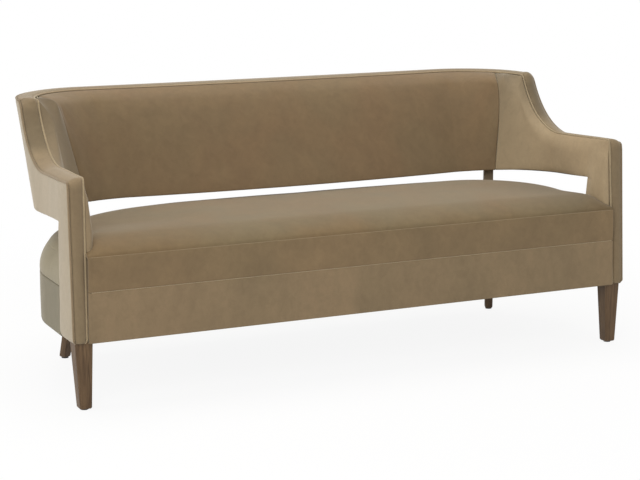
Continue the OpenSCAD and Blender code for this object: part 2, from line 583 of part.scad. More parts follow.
// Square leg between two centres, with softened edges
module leg(top, top_w, foot, foot_w, z1, turn = 0) {
    function square_at(c, w, z, r) = let (h = w / 2) [for (s = [[1, 1], [-1, 1], [-1, -1], [1, -1]])
        each let (k = s[0] * s[1] > 0 ? [[h, h - r], [h - r, h]] : [[h - r, h], [h, h - r]])
            [for (p = k) let (x = s[0] * p[0], y = s[1] * p[1])
                [c[0] + x * cos(turn) - y * sin(turn), c[1] + x * sin(turn) + y * cos(turn), z]]];
    skin_rings([square_at(foot, foot_w - 4, glide_t, 2), square_at(foot, foot_w, glide_t + 3, 2),
                square_at(top, top_w, z1, 3)]);
}
front_foot_at = [879.5, leg_front + 1 + leg_foot / 2];
module front_leg() color(WALNUT) placed() difference() {
    leg([881, leg_front + leg_top / 2], leg_top, front_foot_at, leg_foot, base_height + 2 - gap / 5);
    translate([front_leg_x, leg_front + leg_top / 2, base_height - 30]) cylinder(r = bolt_r + 0.2, h = 60);
}
module rear_leg() color(WALNUT) placed() difference() {
    leg(rear_leg_at, rear_leg_top, rear_foot_at, rear_leg_foot, rail_low - gap / 5, -rear_turn);
    translate([rear_leg_at[0], rear_leg_at[1], base_height - 30]) cylinder(r = bolt_r + 0.2, h = 60);
}
module glides() color(CLOTH) placed() for (s = [-1, 1]) for (p = [front_foot_at, rear_foot_at])
    translate([s * p[0], p[1], 0]) cylinder(r = 11, h = glide_t);
module post_bolts() color(STEEL) placed() for (s = [0, 1]) mirror([s, 0, 0]) {
    translate([rear_post_at[0], rear_post_at[1], post_top - 59]) cylinder(r = bolt_r, h = 84);
    intersection() {
        rail_bolts(bolt_r, 55);
        seat_ring(rail_inset + 2, 200, rail_low, rail_top, 0);
    }
}
module leg_bolts() color(STEEL) placed() for (s = [-1, 1])
    for (p = [[front_leg_x, leg_front + leg_top / 2], rear_leg_at])
        translate([s * p[0], p[1], base_height - 29]) cylinder(r = bolt_r, h = 80);

mirrored() front_leg();  // front_leg_left
front_leg();  // front_leg_right
mirrored() rear_leg();  // rear_leg_left
rear_leg();  // rear_leg_right
glides();
leg_bolts();
post_bolts();
mirrored() rear_post();  // rear_post_left
rear_post();  // rear_post_right
front_rail();
mirrored() side_rail();  // side_rail_left
side_rail();  // side_rail_right
rear_rail();
stretchers();
corner_blocks();
seat_springs();
spring_clips();
spring_cover();
seat_foam();
seat_top();
boxing_front();
boxing_surround();
lower_band_front();
lower_band_surround();
dust_cover();
mirrored() stile_post();  // stile_post_left
stile_post();  // stile_post_right
mirrored() arm_frame();  // arm_frame_left
arm_frame();  // arm_frame_right
back_top_rail();
back_bottom_rail();
back_uprights();
back_webbing();
back_foam();
mirrored() arm_foam();  // arm_foam_left
arm_foam();  // arm_foam_right
inside_back();
mirrored() inside_arm();  // inside_arm_left
inside_arm();  // inside_arm_right
outside_back();
mirrored() outside_arm();  // outside_arm_left
outside_arm();  // outside_arm_right
underside_strip();
back_border();
mirrored() arm_border();  // arm_border_left
arm_border();  // arm_border_right
back_welt(0);  // inner_welt_back
back_welt(1);  // outer_welt_back
mirrored() arm_welt(0);  // inner_welt_left
arm_welt(0);  // inner_welt_right
mirrored() arm_welt(1);  // outer_welt_left
arm_welt(1);  // outer_welt_right
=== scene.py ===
"""Looks of a loveseat with a wrap-around back: velvet covers, piping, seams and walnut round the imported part.

The covers are swept over the same curves as the solids. Curves are in millimetres, with y from the
front of the stiles, and every mesh is written in metres in the part's frame.
"""

from math import asin, atan2, cos, degrees, exp, hypot, pi, radians, sin, sqrt

import bmesh
import bpy
import numpy as np
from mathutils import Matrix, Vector


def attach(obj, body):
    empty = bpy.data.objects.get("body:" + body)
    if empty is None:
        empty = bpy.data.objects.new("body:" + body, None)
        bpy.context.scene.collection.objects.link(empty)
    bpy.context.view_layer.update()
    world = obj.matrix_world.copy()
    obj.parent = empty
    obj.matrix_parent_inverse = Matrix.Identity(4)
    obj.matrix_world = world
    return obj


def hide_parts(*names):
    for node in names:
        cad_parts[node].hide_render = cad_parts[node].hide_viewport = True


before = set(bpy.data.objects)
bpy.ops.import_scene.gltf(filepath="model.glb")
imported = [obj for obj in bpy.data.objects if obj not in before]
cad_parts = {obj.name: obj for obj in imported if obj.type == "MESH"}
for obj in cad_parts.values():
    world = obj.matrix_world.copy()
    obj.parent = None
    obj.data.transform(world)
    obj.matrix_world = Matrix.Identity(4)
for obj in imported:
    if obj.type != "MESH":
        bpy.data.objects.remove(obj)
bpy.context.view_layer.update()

# ---------------- sizes of the part, in mm
HALF_WIDTH, DEPTH, BASE_HEIGHT = 915, 795, 194
INNER_HEIGHT, BACK_HEIGHT = 819, 818
LOWER_SEAM, UPPER_SEAM, CROWN_HEIGHT, SEAT_DEPTH, SEAT_CORNER = 339, 438, 485, 645, 385
STILE_DEPTH, STILE_LEAN, NOSE = 121, 31, 12
BACK_CROWN, CORNER_CROWN, ARM_CROWN, STRIP_CROWN = 36, 74, 13, 5
WELT_D, EDGE_T, BEAD, COVER_T, GAP = 5.7, 7, 3.2, 5, 0.5
# lower edge of the band and upper edge of the arm: height at the front and fall per mm to the rear;
# the arm's outer edge lies ARM_TILT lower than the inner one
BAND_LOW, BAND_FALL = 525, 0.039
ARM_HEIGHT, ARM_TILT, ARM_FALL = 659, 12, 0.04
# plan curves of the inner and outer skin at their lower and upper edge:
# half width, rear y, corner radius, forward bow of the middle, share of the corner before the seam, flare
IN_LOW = (849, 500, 268, 35, 0.32, 2)
IN_TOP = (841, 740, 205, 22, 0.637, 28)
OUT_LOW = (907, 604, 259, 0, 0.33, 7)
OUT_TOP = (896, DEPTH + 2, 242, 2, 0.655, 14.5)
# the swoop's inner and outer edge: its ends, the way it starts and how far the curve is pulled at each end
SWOOP_TOP_Y, SWOOP_TOP_Z, SWOOP_END_Y = (517.1, 527.9), (810, 791.9), 290
SWOOP_DIR, SWOOP_PULL, SWOOP_FOOT_PULL = (0.43, 0.9028), (113.6, 113.9), (96.2, 103.4)
# u at which the stations from the seam on meet the lower edge
FOOT_U = ((2, 3, 4, 4.57, 5, 6), (2, 2.1, 2.21, 2.53, 2.78, 4))
# height at which a station line's y is read, to find how high the band's lower edge is there
LINE_Z = 600
# how far the swell has turned from the corner's into the arm's, by the way ahead of the seam
ARM_AHEAD = (0, 20, 40, 65, 90, 115, 140, 180, 220, 300, 390)
ARM_SHARES = (0, 0.04, 0.15, 0.31, 0.47, 0.60, 0.73, 0.86, 0.93, 0.98, 1)
MM = 0.001


def mix(a, b, t):
    return a + (b - a) * t


def ease(x):
    k = np.clip(x, 0, 1)
    return k * k * (3 - 2 * k)


def unit(p):
    """Vectors of length 1, one or a list of them."""
    p = np.asarray(p, float)
    return p / np.linalg.norm(p, axis=-1, keepdims=True)


# ---------------- curves of the band
# Stations v run from the middle of the back to the foot of the stile: 1 start of the corner, 2 seam between
# back and arm, 3 to 4 top corner, 5 foot of the swoop, 6 rear edge of the stile, 7 to 8 its nose, 9 its foot.
# Side 0 is the inner skin and side 1 the outer one.
def plan(c, u):
    """Point of a plan curve: u is 1 at the corner's start, 2 at the seam, 3 at its end and 4 at the stile."""
    flat, cy = c[0] - c[2], c[1] - c[2]
    if u <= 1:
        return u * flat, c[1] - c[3] * (1 - u * u)
    if u <= 3:
        share = (u - 1) * c[4] if u <= 2 else mix(c[4], 1, u - 2)
        a = radians(90 * (1 - share))
        return flat + c[2] * cos(a), cy + c[2] * sin(a)
    return c[0] + c[5] * (u - 3) ** 2, mix(cy, STILE_DEPTH, u - 3)


def low_z(y):
    return BAND_LOW - BAND_FALL * (y - STILE_DEPTH)


def top_height(side):
    return BACK_HEIGHT if side else INNER_HEIGHT


def skin(side, u, z):
    """Point of a skin at height z: it leans from its lower plan curve to its upper one."""
    a, b = plan(OUT_LOW if side else IN_LOW, u), plan(OUT_TOP if side else IN_TOP, u)
    z0 = low_z(a[1])
    k = (z - z0) / (top_height(side) - z0)
    return np.array([mix(a[0], b[0], k), mix(a[1], b[1], k), z])


def u_at(side, y, z):
    """The u at which a skin has a given y and z."""
    lo, hi = 0.6, 4.0
    for _ in range(24):
        m = (lo + hi) / 2
        if skin(side, m, z)[1] > y:
            lo = m
        else:
            hi = m
    return (lo + hi) / 2


def arm_z(side, y):
    return ARM_HEIGHT - side * ARM_TILT - ARM_FALL * (y - STILE_LEAN)


def swoop_poly(side):
    top, d = np.array([SWOOP_TOP_Y[side], SWOOP_TOP_Z[side]], float), np.array(SWOOP_DIR)
    end = np.array([SWOOP_END_Y, arm_z(side, SWOOP_END_Y)])
    return top, top - d * SWOOP_PULL[side], end + SWOOP_FOOT_PULL[side] * np.array([1, -ARM_FALL]), end


def bezier(p, t):
    return (1 - t) ** 3 * p[0] + 3 * t * (1 - t) ** 2 * p[1] + 3 * t * t * (1 - t) * p[2] + t ** 3 * p[3]


def edge_at(side, q):
    """Point (y, z) of the upper edge and its inward normal: q 0 to 1 top corner, to 2 swoop, to 3 arm."""
    if q < 1:
        r = (top_height(side) - SWOOP_TOP_Z[side]) / (1 - SWOOP_DIR[0])
        a = q * asin(SWOOP_DIR[1])
        c = np.array([SWOOP_TOP_Y[side] + r * SWOOP_DIR[1], SWOOP_TOP_Z[side] - r * SWOOP_DIR[0]])
        return c + r * np.array([-sin(a), cos(a)]), (sin(a), -cos(a))
    if q < 2:
        p, t = swoop_poly(side), q - 1
        d = unit(bezier(p, t + 0.004) - bezier(p, t - 0.004))
        return bezier(p, t), (-d[1], d[0])
    y = mix(SWOOP_END_Y, STILE_DEPTH, q - 2)
    return np.array([y, arm_z(side, y)]), (0, -1)


FOOT = [u_at(s, edge_at(s, 0)[0][0], top_height(s)) for s in (0, 1)]


def upper_end(side, v, e):
    """Upper end of a station line as u and z, e mm under the edge."""
    if v < 3:
        return (v if v <= 2 else mix(2, FOOT[side], v - 2)), top_height(side) - e
    g, n = edge_at(side, v - 3)
    y, z = g[0] + e * n[0], g[1] + e * n[1]
    return u_at(side, y, z), z


def lower_end(v):
    return v if v <= 2 else float(np.interp(v, *FOOT_U))


def ahead_of_seam(p):
    """How far points of the inner skin lie in front of the seam between the back and the arm."""
    low, high = plan(IN_LOW, 2)[1], plan(IN_TOP, 2)[1]
    z0 = low_z(low)
    return mix(low, high, (p[:, 2] - z0) / (INNER_HEIGHT - z0)) - p[:, 1]


# share of a station line's height at which the back's swell is full
FULL_SWELL = 0.85


def swell(v, ts, ahead):
    """Swell of the inner skin: it grows from the lower edge and rolls back to the piping at the top.

    From the seam on it goes by the place and not by the station, as stations meet under the top corner.
    """
    arm = np.interp(ahead, ARM_AHEAD, ARM_SHARES) if v >= 2 else 0 * ts
    crown = mix(BACK_CROWN, CORNER_CROWN, ease(v / 2)) if v < 2 else mix(CORNER_CROWN, ARM_CROWN, arm)
    x = np.minimum(1, ts / FULL_SWELL)
    start = mix(0.9, 0.55, arm ** 1.25)
    over = np.maximum(0, ts - start) / (1 - start)
    low = 7 * ease(v - 5) * np.exp(-(ts / 0.35) ** 2)
    return (crown * mix(mix(x, ease(x), 0.6), np.sqrt(ts), arm) + low) * (1 - over * over)


def station_line(side, v, ts, e):
    """Places (u, z) on a skin at shares ts of the height of a station line."""
    a, (u, z) = lower_end(v), upper_end(side, v, e)
    low = low_z(skin(side, a, LINE_Z)[1])
    return [(mix(a, u, t), mix(low, z, t)) for t in ts]


def skin_ways(v, ts, e):
    """Normals of the inner skin, towards the seat, along one station line."""
    ways = []
    for u, z in station_line(0, v, ts, e):
        along, up = skin(0, u + 0.01, z) - skin(0, u - 0.01, z), skin(0, u, z + 5) - skin(0, u, z - 5)
        ways.append(np.cross(along, up))
    return unit(ways)


# share of the sideways part in the way that the back and its corners swell
SIDEWAYS = 0.35


def layer(v, ts, d, e=EDGE_T):
    """Points of a station line: d in from the outer skin, or on the swollen inner skin where d < 0."""
    i, o = (np.array([skin(side, *at) for at in station_line(side, v, ts, e)]) for side in (0, 1))
    n = unit(i - o)
    if d >= 0:
        return o + n * d
    ahead = ahead_of_seam(i)
    m = n.copy() if v <= 2 else mix(n, skin_ways(v, ts, e), ease((v - 2) / 0.6))
    # the back swells forwards, the arms sideways
    m[:, 0] *= mix(SIDEWAYS, 1, ease(ahead / 100)) if v > 2 else SIDEWAYS
    return i + unit(m) * swell(v, np.asarray(ts, float), ahead)[:, None] + n * d


def stile_share(z):
    return (z - BASE_HEIGHT) / (ARM_HEIGHT - BASE_HEIGHT)


def stile_out(z):
    return mix(HALF_WIDTH, HALF_WIDTH - 2.5, stile_share(z))


def stile_in(z):
    return mix(HALF_WIDTH - 44, HALF_WIDTH - 53, stile_share(z))


def stile_front(z):
    return mix(STRIP_CROWN, STILE_LEAN, stile_share(z))


def border_edge(side, v):
    """Finished edge of the border and its outward direction."""
    if v <= 6:
        p = skin(side, *upper_end(side, v, 0))
        q = skin(side, *upper_end(side, v, EDGE_T))
        return p, unit(p - q)
    yc = STILE_LEAN + NOSE
    zc = arm_z(side, yc) - NOSE
    a = radians(90 * (v - 7))
    if v <= 7:
        y = mix(STILE_DEPTH, yc, v - 6)
        z, n = arm_z(side, y), (0, 0, 1)
    elif v <= 8:
        y, z, n = yc - NOSE * sin(a), zc + NOSE * cos(a), (0, -sin(a), cos(a))
    else:
        z = mix(zc, BASE_HEIGHT, v - 8)
        y, n = stile_front(z), (0, -1, 0)
    x = stile_out(z) if side else stile_in(z)
    if v <= 7:
        x = mix(skin(side, 4, z)[0], x, v - 6)
    return np.array([x, y, z]), np.array(n, float)


# ---------------- shape of the seat
SIDE_END = SEAT_DEPTH - SEAT_CORNER
# how far the seam of the top lies in from the seat's sides
TOP_INSET = 28
# height at which the roll starts, its widths and its power
ROLL_LOW, ROLL_SIDE, ROLL_REAR, ROLL_FRONT, ROLL_STILE, ROLL_POWER = 348, 160, 180, 110, 100, 1.94
CROWN_RISE, CROWN_Y = 8, 300


def roll(o, w):
    """Share of the height that is reached o mm in from an edge, where the roll is w mm wide."""
    return (1 - (1 - max(0.0, min(1.0, o / w))) ** ROLL_POWER) ** (1 / ROLL_POWER)


def side_z(o, w):
    return ROLL_LOW + (CROWN_HEIGHT - CROWN_RISE - ROLL_LOW) * roll(o, w)


def arc_roll(a):
    return mix(ROLL_SIDE, ROLL_REAR, ease(a / 90))


def side_roll(y):
    return mix(ROLL_STILE, ROLL_SIDE, ease((y - STILE_DEPTH / 2) / 150))


def seat_z(x, y):
    """Height of the seat's surface: it rolls up from the sides and rear, and from the front's seam."""
    u, w = abs(x) - (HALF_WIDTH - SEAT_CORNER), y - SIDE_END
    if w <= 0:
        edge = HALF_WIDTH - abs(x), side_roll(y)
    elif u <= 0:
        edge = SEAT_DEPTH - y, ROLL_REAR
    else:
        edge = SEAT_CORNER - hypot(u, w), arc_roll(degrees(atan2(w, u)))
    crown = (1 - (x / HALF_WIDTH) ** 2) * (1 - ((y - CROWN_Y) / (SEAT_DEPTH - CROWN_Y)) ** 2)
    return mix(UPPER_SEAM + GAP, side_z(*edge) + CROWN_RISE * crown, roll(y - COVER_T - GAP, ROLL_FRONT))


# ---------------- mesh helpers
# angle of an edge that shows, the distance in m under which points are one, and next to nothing
SHARP, DOUBLE, TINY = radians(55), 2e-5, 1e-6


def to_frame(p):
    p = np.asarray(p, float).reshape(-1, 3)
    return (p - (0, DEPTH / 2, 0)) * MM


def mirror(p):
    return np.asarray(p) * (-1, 1, 1)


def new_object(name, data):
    obj = bpy.data.objects.new(name, data)
    bpy.context.scene.collection.objects.link(obj)
    return obj


def put(obj, mat, replaces=()):
    """Gives a piece its material and body, and hides the CAD nodes that it stands for."""
    obj.data.materials.append(mat)
    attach(obj, "root")
    if replaces:
        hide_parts(*replaces)
    return obj


def mesh_object(name, verts, faces):
    mesh = bpy.data.meshes.new(name)
    mesh.from_pydata([tuple(p) for p in verts], [], [tuple(f) for f in faces])
    bm = bmesh.new()
    bm.from_mesh(mesh)
    bmesh.ops.remove_doubles(bm, verts=bm.verts, dist=DOUBLE)
    bmesh.ops.recalc_face_normals(bm, faces=bm.faces)
    bm.to_mesh(mesh)
    bm.free()
    mesh.shade_smooth()
    mesh.set_sharp_from_angle(angle=SHARP)
    return new_object(name, mesh)


def grid_faces(n, m, start=0, wrap=False):
    """Faces of a grid of n rows of m points, numbered from start on."""
    at = lambda i, j: start + i * m + j % m
    return [(at(i, j), at(i, j + 1), at(i + 1, j + 1), at(i + 1, j))
            for i in range(n - 1) for j in range(m if wrap else m - 1)]


def closed_grid(name, front, back):
    """Closed piece between two grids of points of the same size."""
    n, m = front.shape[:2]
    verts = np.concatenate([to_frame(front), to_frame(back)])
    k, f = n * m, grid_faces(n, m)
    faces = f + [tuple(a + k for a in reversed(q)) for q in f]
    rim = [i * m for i in range(n)] + [(n - 1) * m + j for j in range(1, m)]
    rim += [i * m + m - 1 for i in range(n - 2, -1, -1)] + list(range(m - 2, 0, -1))
    faces += [(a, b, b + k, a + k) for a, b in zip(rim, rim[1:] + rim[:1])]
    return mesh_object(name, verts, faces)


def tube_faces(n, m, start=0):
    """Faces of n rings of m points with both ends closed."""
    ends = [tuple(start + j for j in range(m)), tuple(start + (n - 1) * m + j for j in reversed(range(m)))]
    return grid_faces(n, m, start, wrap=True) + ends


def turns(n):
    """Angles of n points round a circle."""
    return np.linspace(0, 2 * pi, n + 1)[:-1]


def modifier(obj, kind, **values):
    m = obj.modifiers.new(kind.lower(), kind)
    for k, v in values.items():
        setattr(m, k, v)
    return m


def subdivide(obj):
    modifier(obj, "SUBSURF", levels=1, render_levels=1)


def cover(node, name, front, back, mat, rounded=True):
    """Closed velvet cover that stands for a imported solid."""
    obj = closed_grid(name, front, back)
    if rounded:
        subdivide(obj)
    return put(obj, mat, [node])


def normals(g):
    """Unit normals of a grid of points."""
    n = np.cross(np.gradient(g, axis=0), np.gradient(g, axis=1))
    return n / np.maximum(np.linalg.norm(n, axis=2), TINY)[:, :, None]


def facing(g, n, way):
    """The normals of a whole grid turned so that they point the way given by a function of the points."""
    return n * np.sign((n * way(g)).sum())


def resample(values, rows, cols):
    """A grid of values read at fractional rows and columns."""
    n, m = values.shape[:2]
    i, j = np.clip(rows, 0, n - 1 - TINY), np.clip(cols, 0, m - 1 - TINY)
    i0, j0 = i.astype(int), j.astype(int)
    a, b = (i - i0)[:, None, None], (j - j0)[None, :, None]
    v = values[i0][:, j0] * (1 - a) * (1 - b) + values[i0 + 1][:, j0] * a * (1 - b)
    return v + values[i0][:, j0 + 1] * (1 - a) * b + values[i0 + 1][:, j0 + 1] * a * b


SIM_FRAMES = 20
SIM_SETTINGS = {"quality": 6, "mass": 0.35, "tension_stiffness": 20, "compression_stiffness": 20,
                "shear_stiffness": 8, "bending_stiffness": 1.2, "use_pressure": True, "shrink_min": -0.015}


def points_of(obj):
    co = np.zeros(len(obj.data.vertices) * 3)
    obj.data.vertices.foreach_get("co", co)
    return co.reshape(-1, 3)


def inflate(name, front, back, pressure, cap, smooth):
    """Cloth simulation of a padded cover held at its seams: how far each front point moves, in mm.

    A move is cut to the cap and then evened out with its neighbours.
    """
    obj = closed_grid(name, front, back)
    n, m = front.shape[:2]
    # remove_doubles keeps the order of the points that stay, and none of these are double
    held = [i * m + j for i in range(n) for j in range(m) if i in (0, n - 1) or j in (0, m - 1)]
    held += list(range(n * m, 2 * n * m))
    group = obj.vertex_groups.new(name="held")
    group.add(held, 1.0, "REPLACE")
    cloth = modifier(obj, "CLOTH")
    cloth.settings.vertex_group_mass = group.name
    for k, v in SIM_SETTINGS.items():
        setattr(cloth.settings, k, v)
    cloth.settings.uniform_pressure_force = pressure
    cloth.settings.effector_weights.gravity = 0
    cloth.point_cache.frame_start, cloth.point_cache.frame_end = 1, SIM_FRAMES
    scene = bpy.context.scene
    for f in range(1, SIM_FRAMES + 1):
        scene.frame_set(f)
    after = obj.evaluated_get(bpy.context.evaluated_depsgraph_get())
    moved = (points_of(after) - points_of(obj))[: n * m] / MM
    scene.frame_set(1)
    bpy.data.objects.remove(obj)
    length = np.linalg.norm(moved, axis=1)
    moved *= (np.minimum(length, cap) / np.maximum(length, TINY))[:, None]
    print("cloth", name, "largest move", round(float(length.max()), 1), "mm")
    moved = moved.reshape(n, m, 3)
    for _ in range(smooth):
        inner = (moved[:-2, 1:-1] + moved[2:, 1:-1] + moved[1:-1, :-2] + moved[1:-1, 2:]) / 4
        moved[1:-1, 1:-1] = mix(moved[1:-1, 1:-1], inner, 0.6)
    return moved


# ---------------- materials
def srgb(r, g, b):
    """Linear colour of an sRGB one given from 0 to 255."""
    f = lambda c: c / 12.92 if c <= 0.04045 else ((c + 0.055) / 1.055) ** 2.4
    return f(r / 255), f(g / 255), f(b / 255), 1.0


# output that a node hands on where a call names none
MAIN_OUTPUT = {"TexCoord": "Object", "Mapping": "Vector", "TexNoise": "Fac", "TexWave": "Color",
               "ValToRGB": "Color", "Mix": "Result", "MapRange": "Result", "Bump": "Normal",
               "BsdfPrincipled": "BSDF"}


class Nodes:
    """A node tree with short calls."""

    def __init__(self, tree, output="OutputMaterial"):
        self.tree = tree
        tree.nodes.clear()
        self.out = self.new(output)

    def new(self, kind, inputs=(), **values):
        n = self.tree.nodes.new("ShaderNode" + kind)
        for k, v in values.items():
            setattr(n, k, v)
        for k, v in dict(inputs).items():
            n.inputs[k].default_value = v
        return n

    def join(self, a, b, socket, output=None):
        if output is None:
            output = MAIN_OUTPUT.get(a.bl_idname.removeprefix("ShaderNode"), 0)
        self.tree.links.new(a.outputs[output], b.inputs[socket])

    def map_range(self, source, a, b, c, d, output=None, smooth=False):
        """Turns values from a to b into c to d."""
        m = self.new("MapRange", {"From Min": a, "From Max": b, "To Min": c, "To Max": d})
        if smooth:
            m.interpolation_type = "SMOOTHSTEP"
        self.join(source, m, "Value", output)
        return m

    def math(self, operation, a, b, a_out=None, b_out=None):
        m = self.new("Math", operation=operation)
        self.join(a, m, 0, a_out)
        self.join(b, m, 1, b_out)
        return m


class Finish(Nodes):
    """The node tree of a new material with a Principled shader."""

    def __init__(self, name):
        self.mat = bpy.data.materials.new(name)
        self.mat.use_nodes = True
        super().__init__(self.mat.node_tree)
        self.bsdf = self.new("BsdfPrincipled")
        self.join(self.bsdf, self.out, "Surface")
        self.coords = self.new("TexCoord")

    def noise(self, scale, stretch=(1, 1, 1), detail=3.0, rough=0.5, distortion=0.0, rotation=(0, 0, 0)):
        m = self.new("Mapping", {"Scale": stretch, "Rotation": rotation})
        self.join(self.coords, m, "Vector")
        inputs = {"Scale": scale, "Detail": detail, "Roughness": rough, "Distortion": distortion}
        n = self.new("TexNoise", inputs)
        self.join(m, n, "Vector")
        return n

    def ramp(self, source, *stops):
        """Each stop is (position, colour or grey value)."""
        r = self.new("ValToRGB")
        while len(r.color_ramp.elements) < len(stops):
            r.color_ramp.elements.new(0.5)
        for e, (at, colour) in zip(r.color_ramp.elements, stops):
            e.position = at
            e.color = colour if isinstance(colour, tuple) else (colour, colour, colour, 1)
        self.join(source, r, "Fac")
        return r

    def blend(self, a, b, share, mode="MIX"):
        m = self.new("Mix", data_type="RGBA", blend_type=mode)
        self.join(a, m, "A")
        self.join(b, m, "B")
        if isinstance(share, float):
            m.inputs["Factor"].default_value = share
        else:
            self.join(share, m, "Factor")
        return m

    def times(self, a, b, share=1.0):
        return self.blend(a, b, share, "MULTIPLY")

    def bump(self, source, strength, distance, after=None):
        b = self.new("Bump", {"Strength": strength, "Distance": distance})
        self.join(source, b, "Height")
        if after is not None:
            self.join(after, b, "Normal")
        self.join(b, self.bsdf, "Normal")
        return b

    def colour(self, source):
        self.join(source, self.bsdf, "Base Color")

    def roughness(self, source, low, high, a=0.2, b=0.8):
        """Roughness that goes from low to high as the source goes from a to b."""
        self.join(self.map_range(source, a, b, low, high), self.bsdf, "Roughness")

    def set(self, **values):
        for k, v in values.items():
            self.bsdf.inputs[k.replace("_", " ")].default_value = v


def shade(c, k):
    return tuple(x * k for x in c[:3]) + (1,)


SHEEN_TINT = (1.0, 0.95, 0.86, 1)
# heights over which the seat's colour turns into the lighter tone of its sides, which is painted light and
# sheen, and the y from which it does
RIM_Z, RIM_Y = (0.470, 0.425), (-0.29, -0.22)


def velvet(name, warm, cool, sheen, contrast=0.10, streaks=(1, 1, 0.25), light_slopes=(), rim=None):
    """Cut velvet: patches where the pile lies differently, faint brushed streaks and a fine nap.

    Each slope is (axis, from, to, factor at from, factor at to): painted light and shade along the piece,
    lighter where it faces the lamps and darker where it turns away. The rim holds the two tones of the seat's
    sides, which paint light and sheen.
    """
    n = Finish(name)
    patches = n.noise(4.2, (1, 1, 0.4), 2.5, 0.55, 0.3)
    hue = n.ramp(patches, (0.36, warm), (0.62, cool))
    brushed = n.noise(17, streaks, 4, 0.6, 0.4)
    colour = n.times(hue, n.ramp(brushed, (0.30, 1 - contrast), (0.70, 1 + contrast)))
    marks = n.noise(46, (1, 1, 0.8), 5, 0.62, 0.8)
    colour = n.times(colour, n.ramp(marks, (0.34, 0.94), (0.52, 1.0), (0.70, 1.05)))
    axes = n.new("SeparateXYZ")
    n.join(n.coords, axes, "Vector")
    # painted light and shade: the colour is scaled along each slope
    for axis, *values in light_slopes:
        colour = n.times(colour, n.map_range(axes, *values, output=axis, smooth=True))
    # low at its sides and rear the seat takes its sides' tones: painted light and sheen
    if rim:
        low, behind = n.map_range(axes, *RIM_Z, 0, 1, output="Z"), n.map_range(axes, *RIM_Y, 0, 1, output="Y")
        edge = n.ramp(patches, (0.36, rim[0]), (0.62, rim[1]))
        colour = n.blend(colour, edge, n.math("MULTIPLY", low, behind))
    nap = n.noise(1500, (1, 1, 0.7), 2, 0.6)
    n.colour(n.times(colour, n.ramp(nap, (0.30, 0.88), (0.70, 1.10))))
    n.roughness(brushed, 0.80, 0.97)
    soft = n.bump(marks, 0.10, 0.0012)
    n.bump(nap, 0.35, 0.0004, after=soft)
    n.set(Sheen_Weight=sheen, Sheen_Roughness=0.42, Sheen_Tint=SHEEN_TINT, Specular_IOR_Level=0.18)
    return n.mat


WARM, COOL = srgb(120, 99.2, 73.6), srgb(118, 100, 74.6)
# tones of the seat's sides, lighter and greyer than the rest: painted light from the left and painted sheen
LIT_EDGE_TONES = srgb(142, 132, 108), srgb(146, 138, 116)
# One velvet covers the whole part: its pieces' own tones and their slopes are painted light and shade. Inside
# back: lighter along its top, where it rolls back, and darker to the left.
PLAIN_VELVET = velvet(
    "velvet_inside", shade(WARM, 0.97), shade(COOL, 0.97), 0.22, 0.07, (1, 1, 0.4),
    (("Z", 0.60, 0.80, 0.98, 1.02), ("Z", 0.780, 0.812, 1.0, 1.16), ("X", -0.8, 0.2, 0.97, 1.0)))
# front boxing: darker at the left end, a little lighter at the right: painted shade and light
FRONT_VELVET = velvet(
    "velvet_front", srgb(127, 107.5, 81), srgb(122, 104.5, 79), 0.22, 0.08, (0.5, 0.5, 0.5),
    (("X", 0.4, 0.85, 1.0, 1.03), ("X", -0.85, -0.5, 0.92, 1.0)))
# front of the lower band: darker to the left, lighter to the right: painted shade and light
BAND_VELVET = velvet(
    "velvet_band", srgb(136, 117, 91), srgb(126, 109.5, 85), 0.22, 0.08, (0.6, 0.6, 0.25),
    (("X", -0.85, -0.2, 0.95, 1.0), ("X", 0.1, 0.8, 1.0, 1.05)))
# seat top: darker towards the right end, by the right arm: painted shade
SEAT_VELVET = velvet(
    "velvet_seat", srgb(123, 103, 75), srgb(120, 105, 79), 0.30, 0.08, (0.5, 0.5, 1),
    (("X", 0.5, 0.85, 1.0, 0.78),), LIT_EDGE_TONES)
# inside of the arms: a lighter tone, darker at the rear, lighter towards the stile and darker again at the
# front, and darker on the left arm: painted light and shade
ARM_VELVET = velvet(
    "velvet_arm", srgb(136, 119, 94), srgb(140, 124, 99), 0.28, 0.05, (1, 1, 0.5),
    (("Y", 0.25, -0.05, 0.66, 1.34), ("Y", -0.05, -0.20, 1.0, 1.15), ("Y", -0.24, -0.36, 1.0, 0.90),
     ("X", -0.6, 0.6, 0.76, 1.01)))
# border strip: lighter on the arms' top and along the back's top, darker down the swoops: painted light and
# shade
STRIP_VELVET = velvet(
    "velvet_border", srgb(125, 108, 84), srgb(127, 112, 88), 0.34, 0.05,
    light_slopes=(("Z", 0.625, 0.650, 1.0, 1.25), ("Z", 0.665, 0.700, 1.0, 0.66), ("Z", 0.780, 0.812, 1.0, 1.33)))
# the outside: the same velvet in a lighter, greyer tone, painted light from the left and painted sheen
LIT_OUTER_VELVET = velvet("velvet_outside_lit", srgb(160, 146, 124), srgb(163, 151, 131), 0.45, 0.05)
# the seat's sides: painted light and sheen, darker towards the lower seam: painted shade
LIT_SIDE_VELVET = velvet("velvet_seat_side_lit", *LIT_EDGE_TONES, 0.35, 0.06, light_slopes=(("Z", 0.41, 0.345, 1.0, 0.90),))
# sides and rear of the lower band: a greyer tone of the same velvet, painted light from the left and painted
# sheen
LIT_BASE_VELVET = velvet("velvet_base_side_lit", srgb(117, 109, 90), srgb(119, 113, 94), 0.30, 0.06)


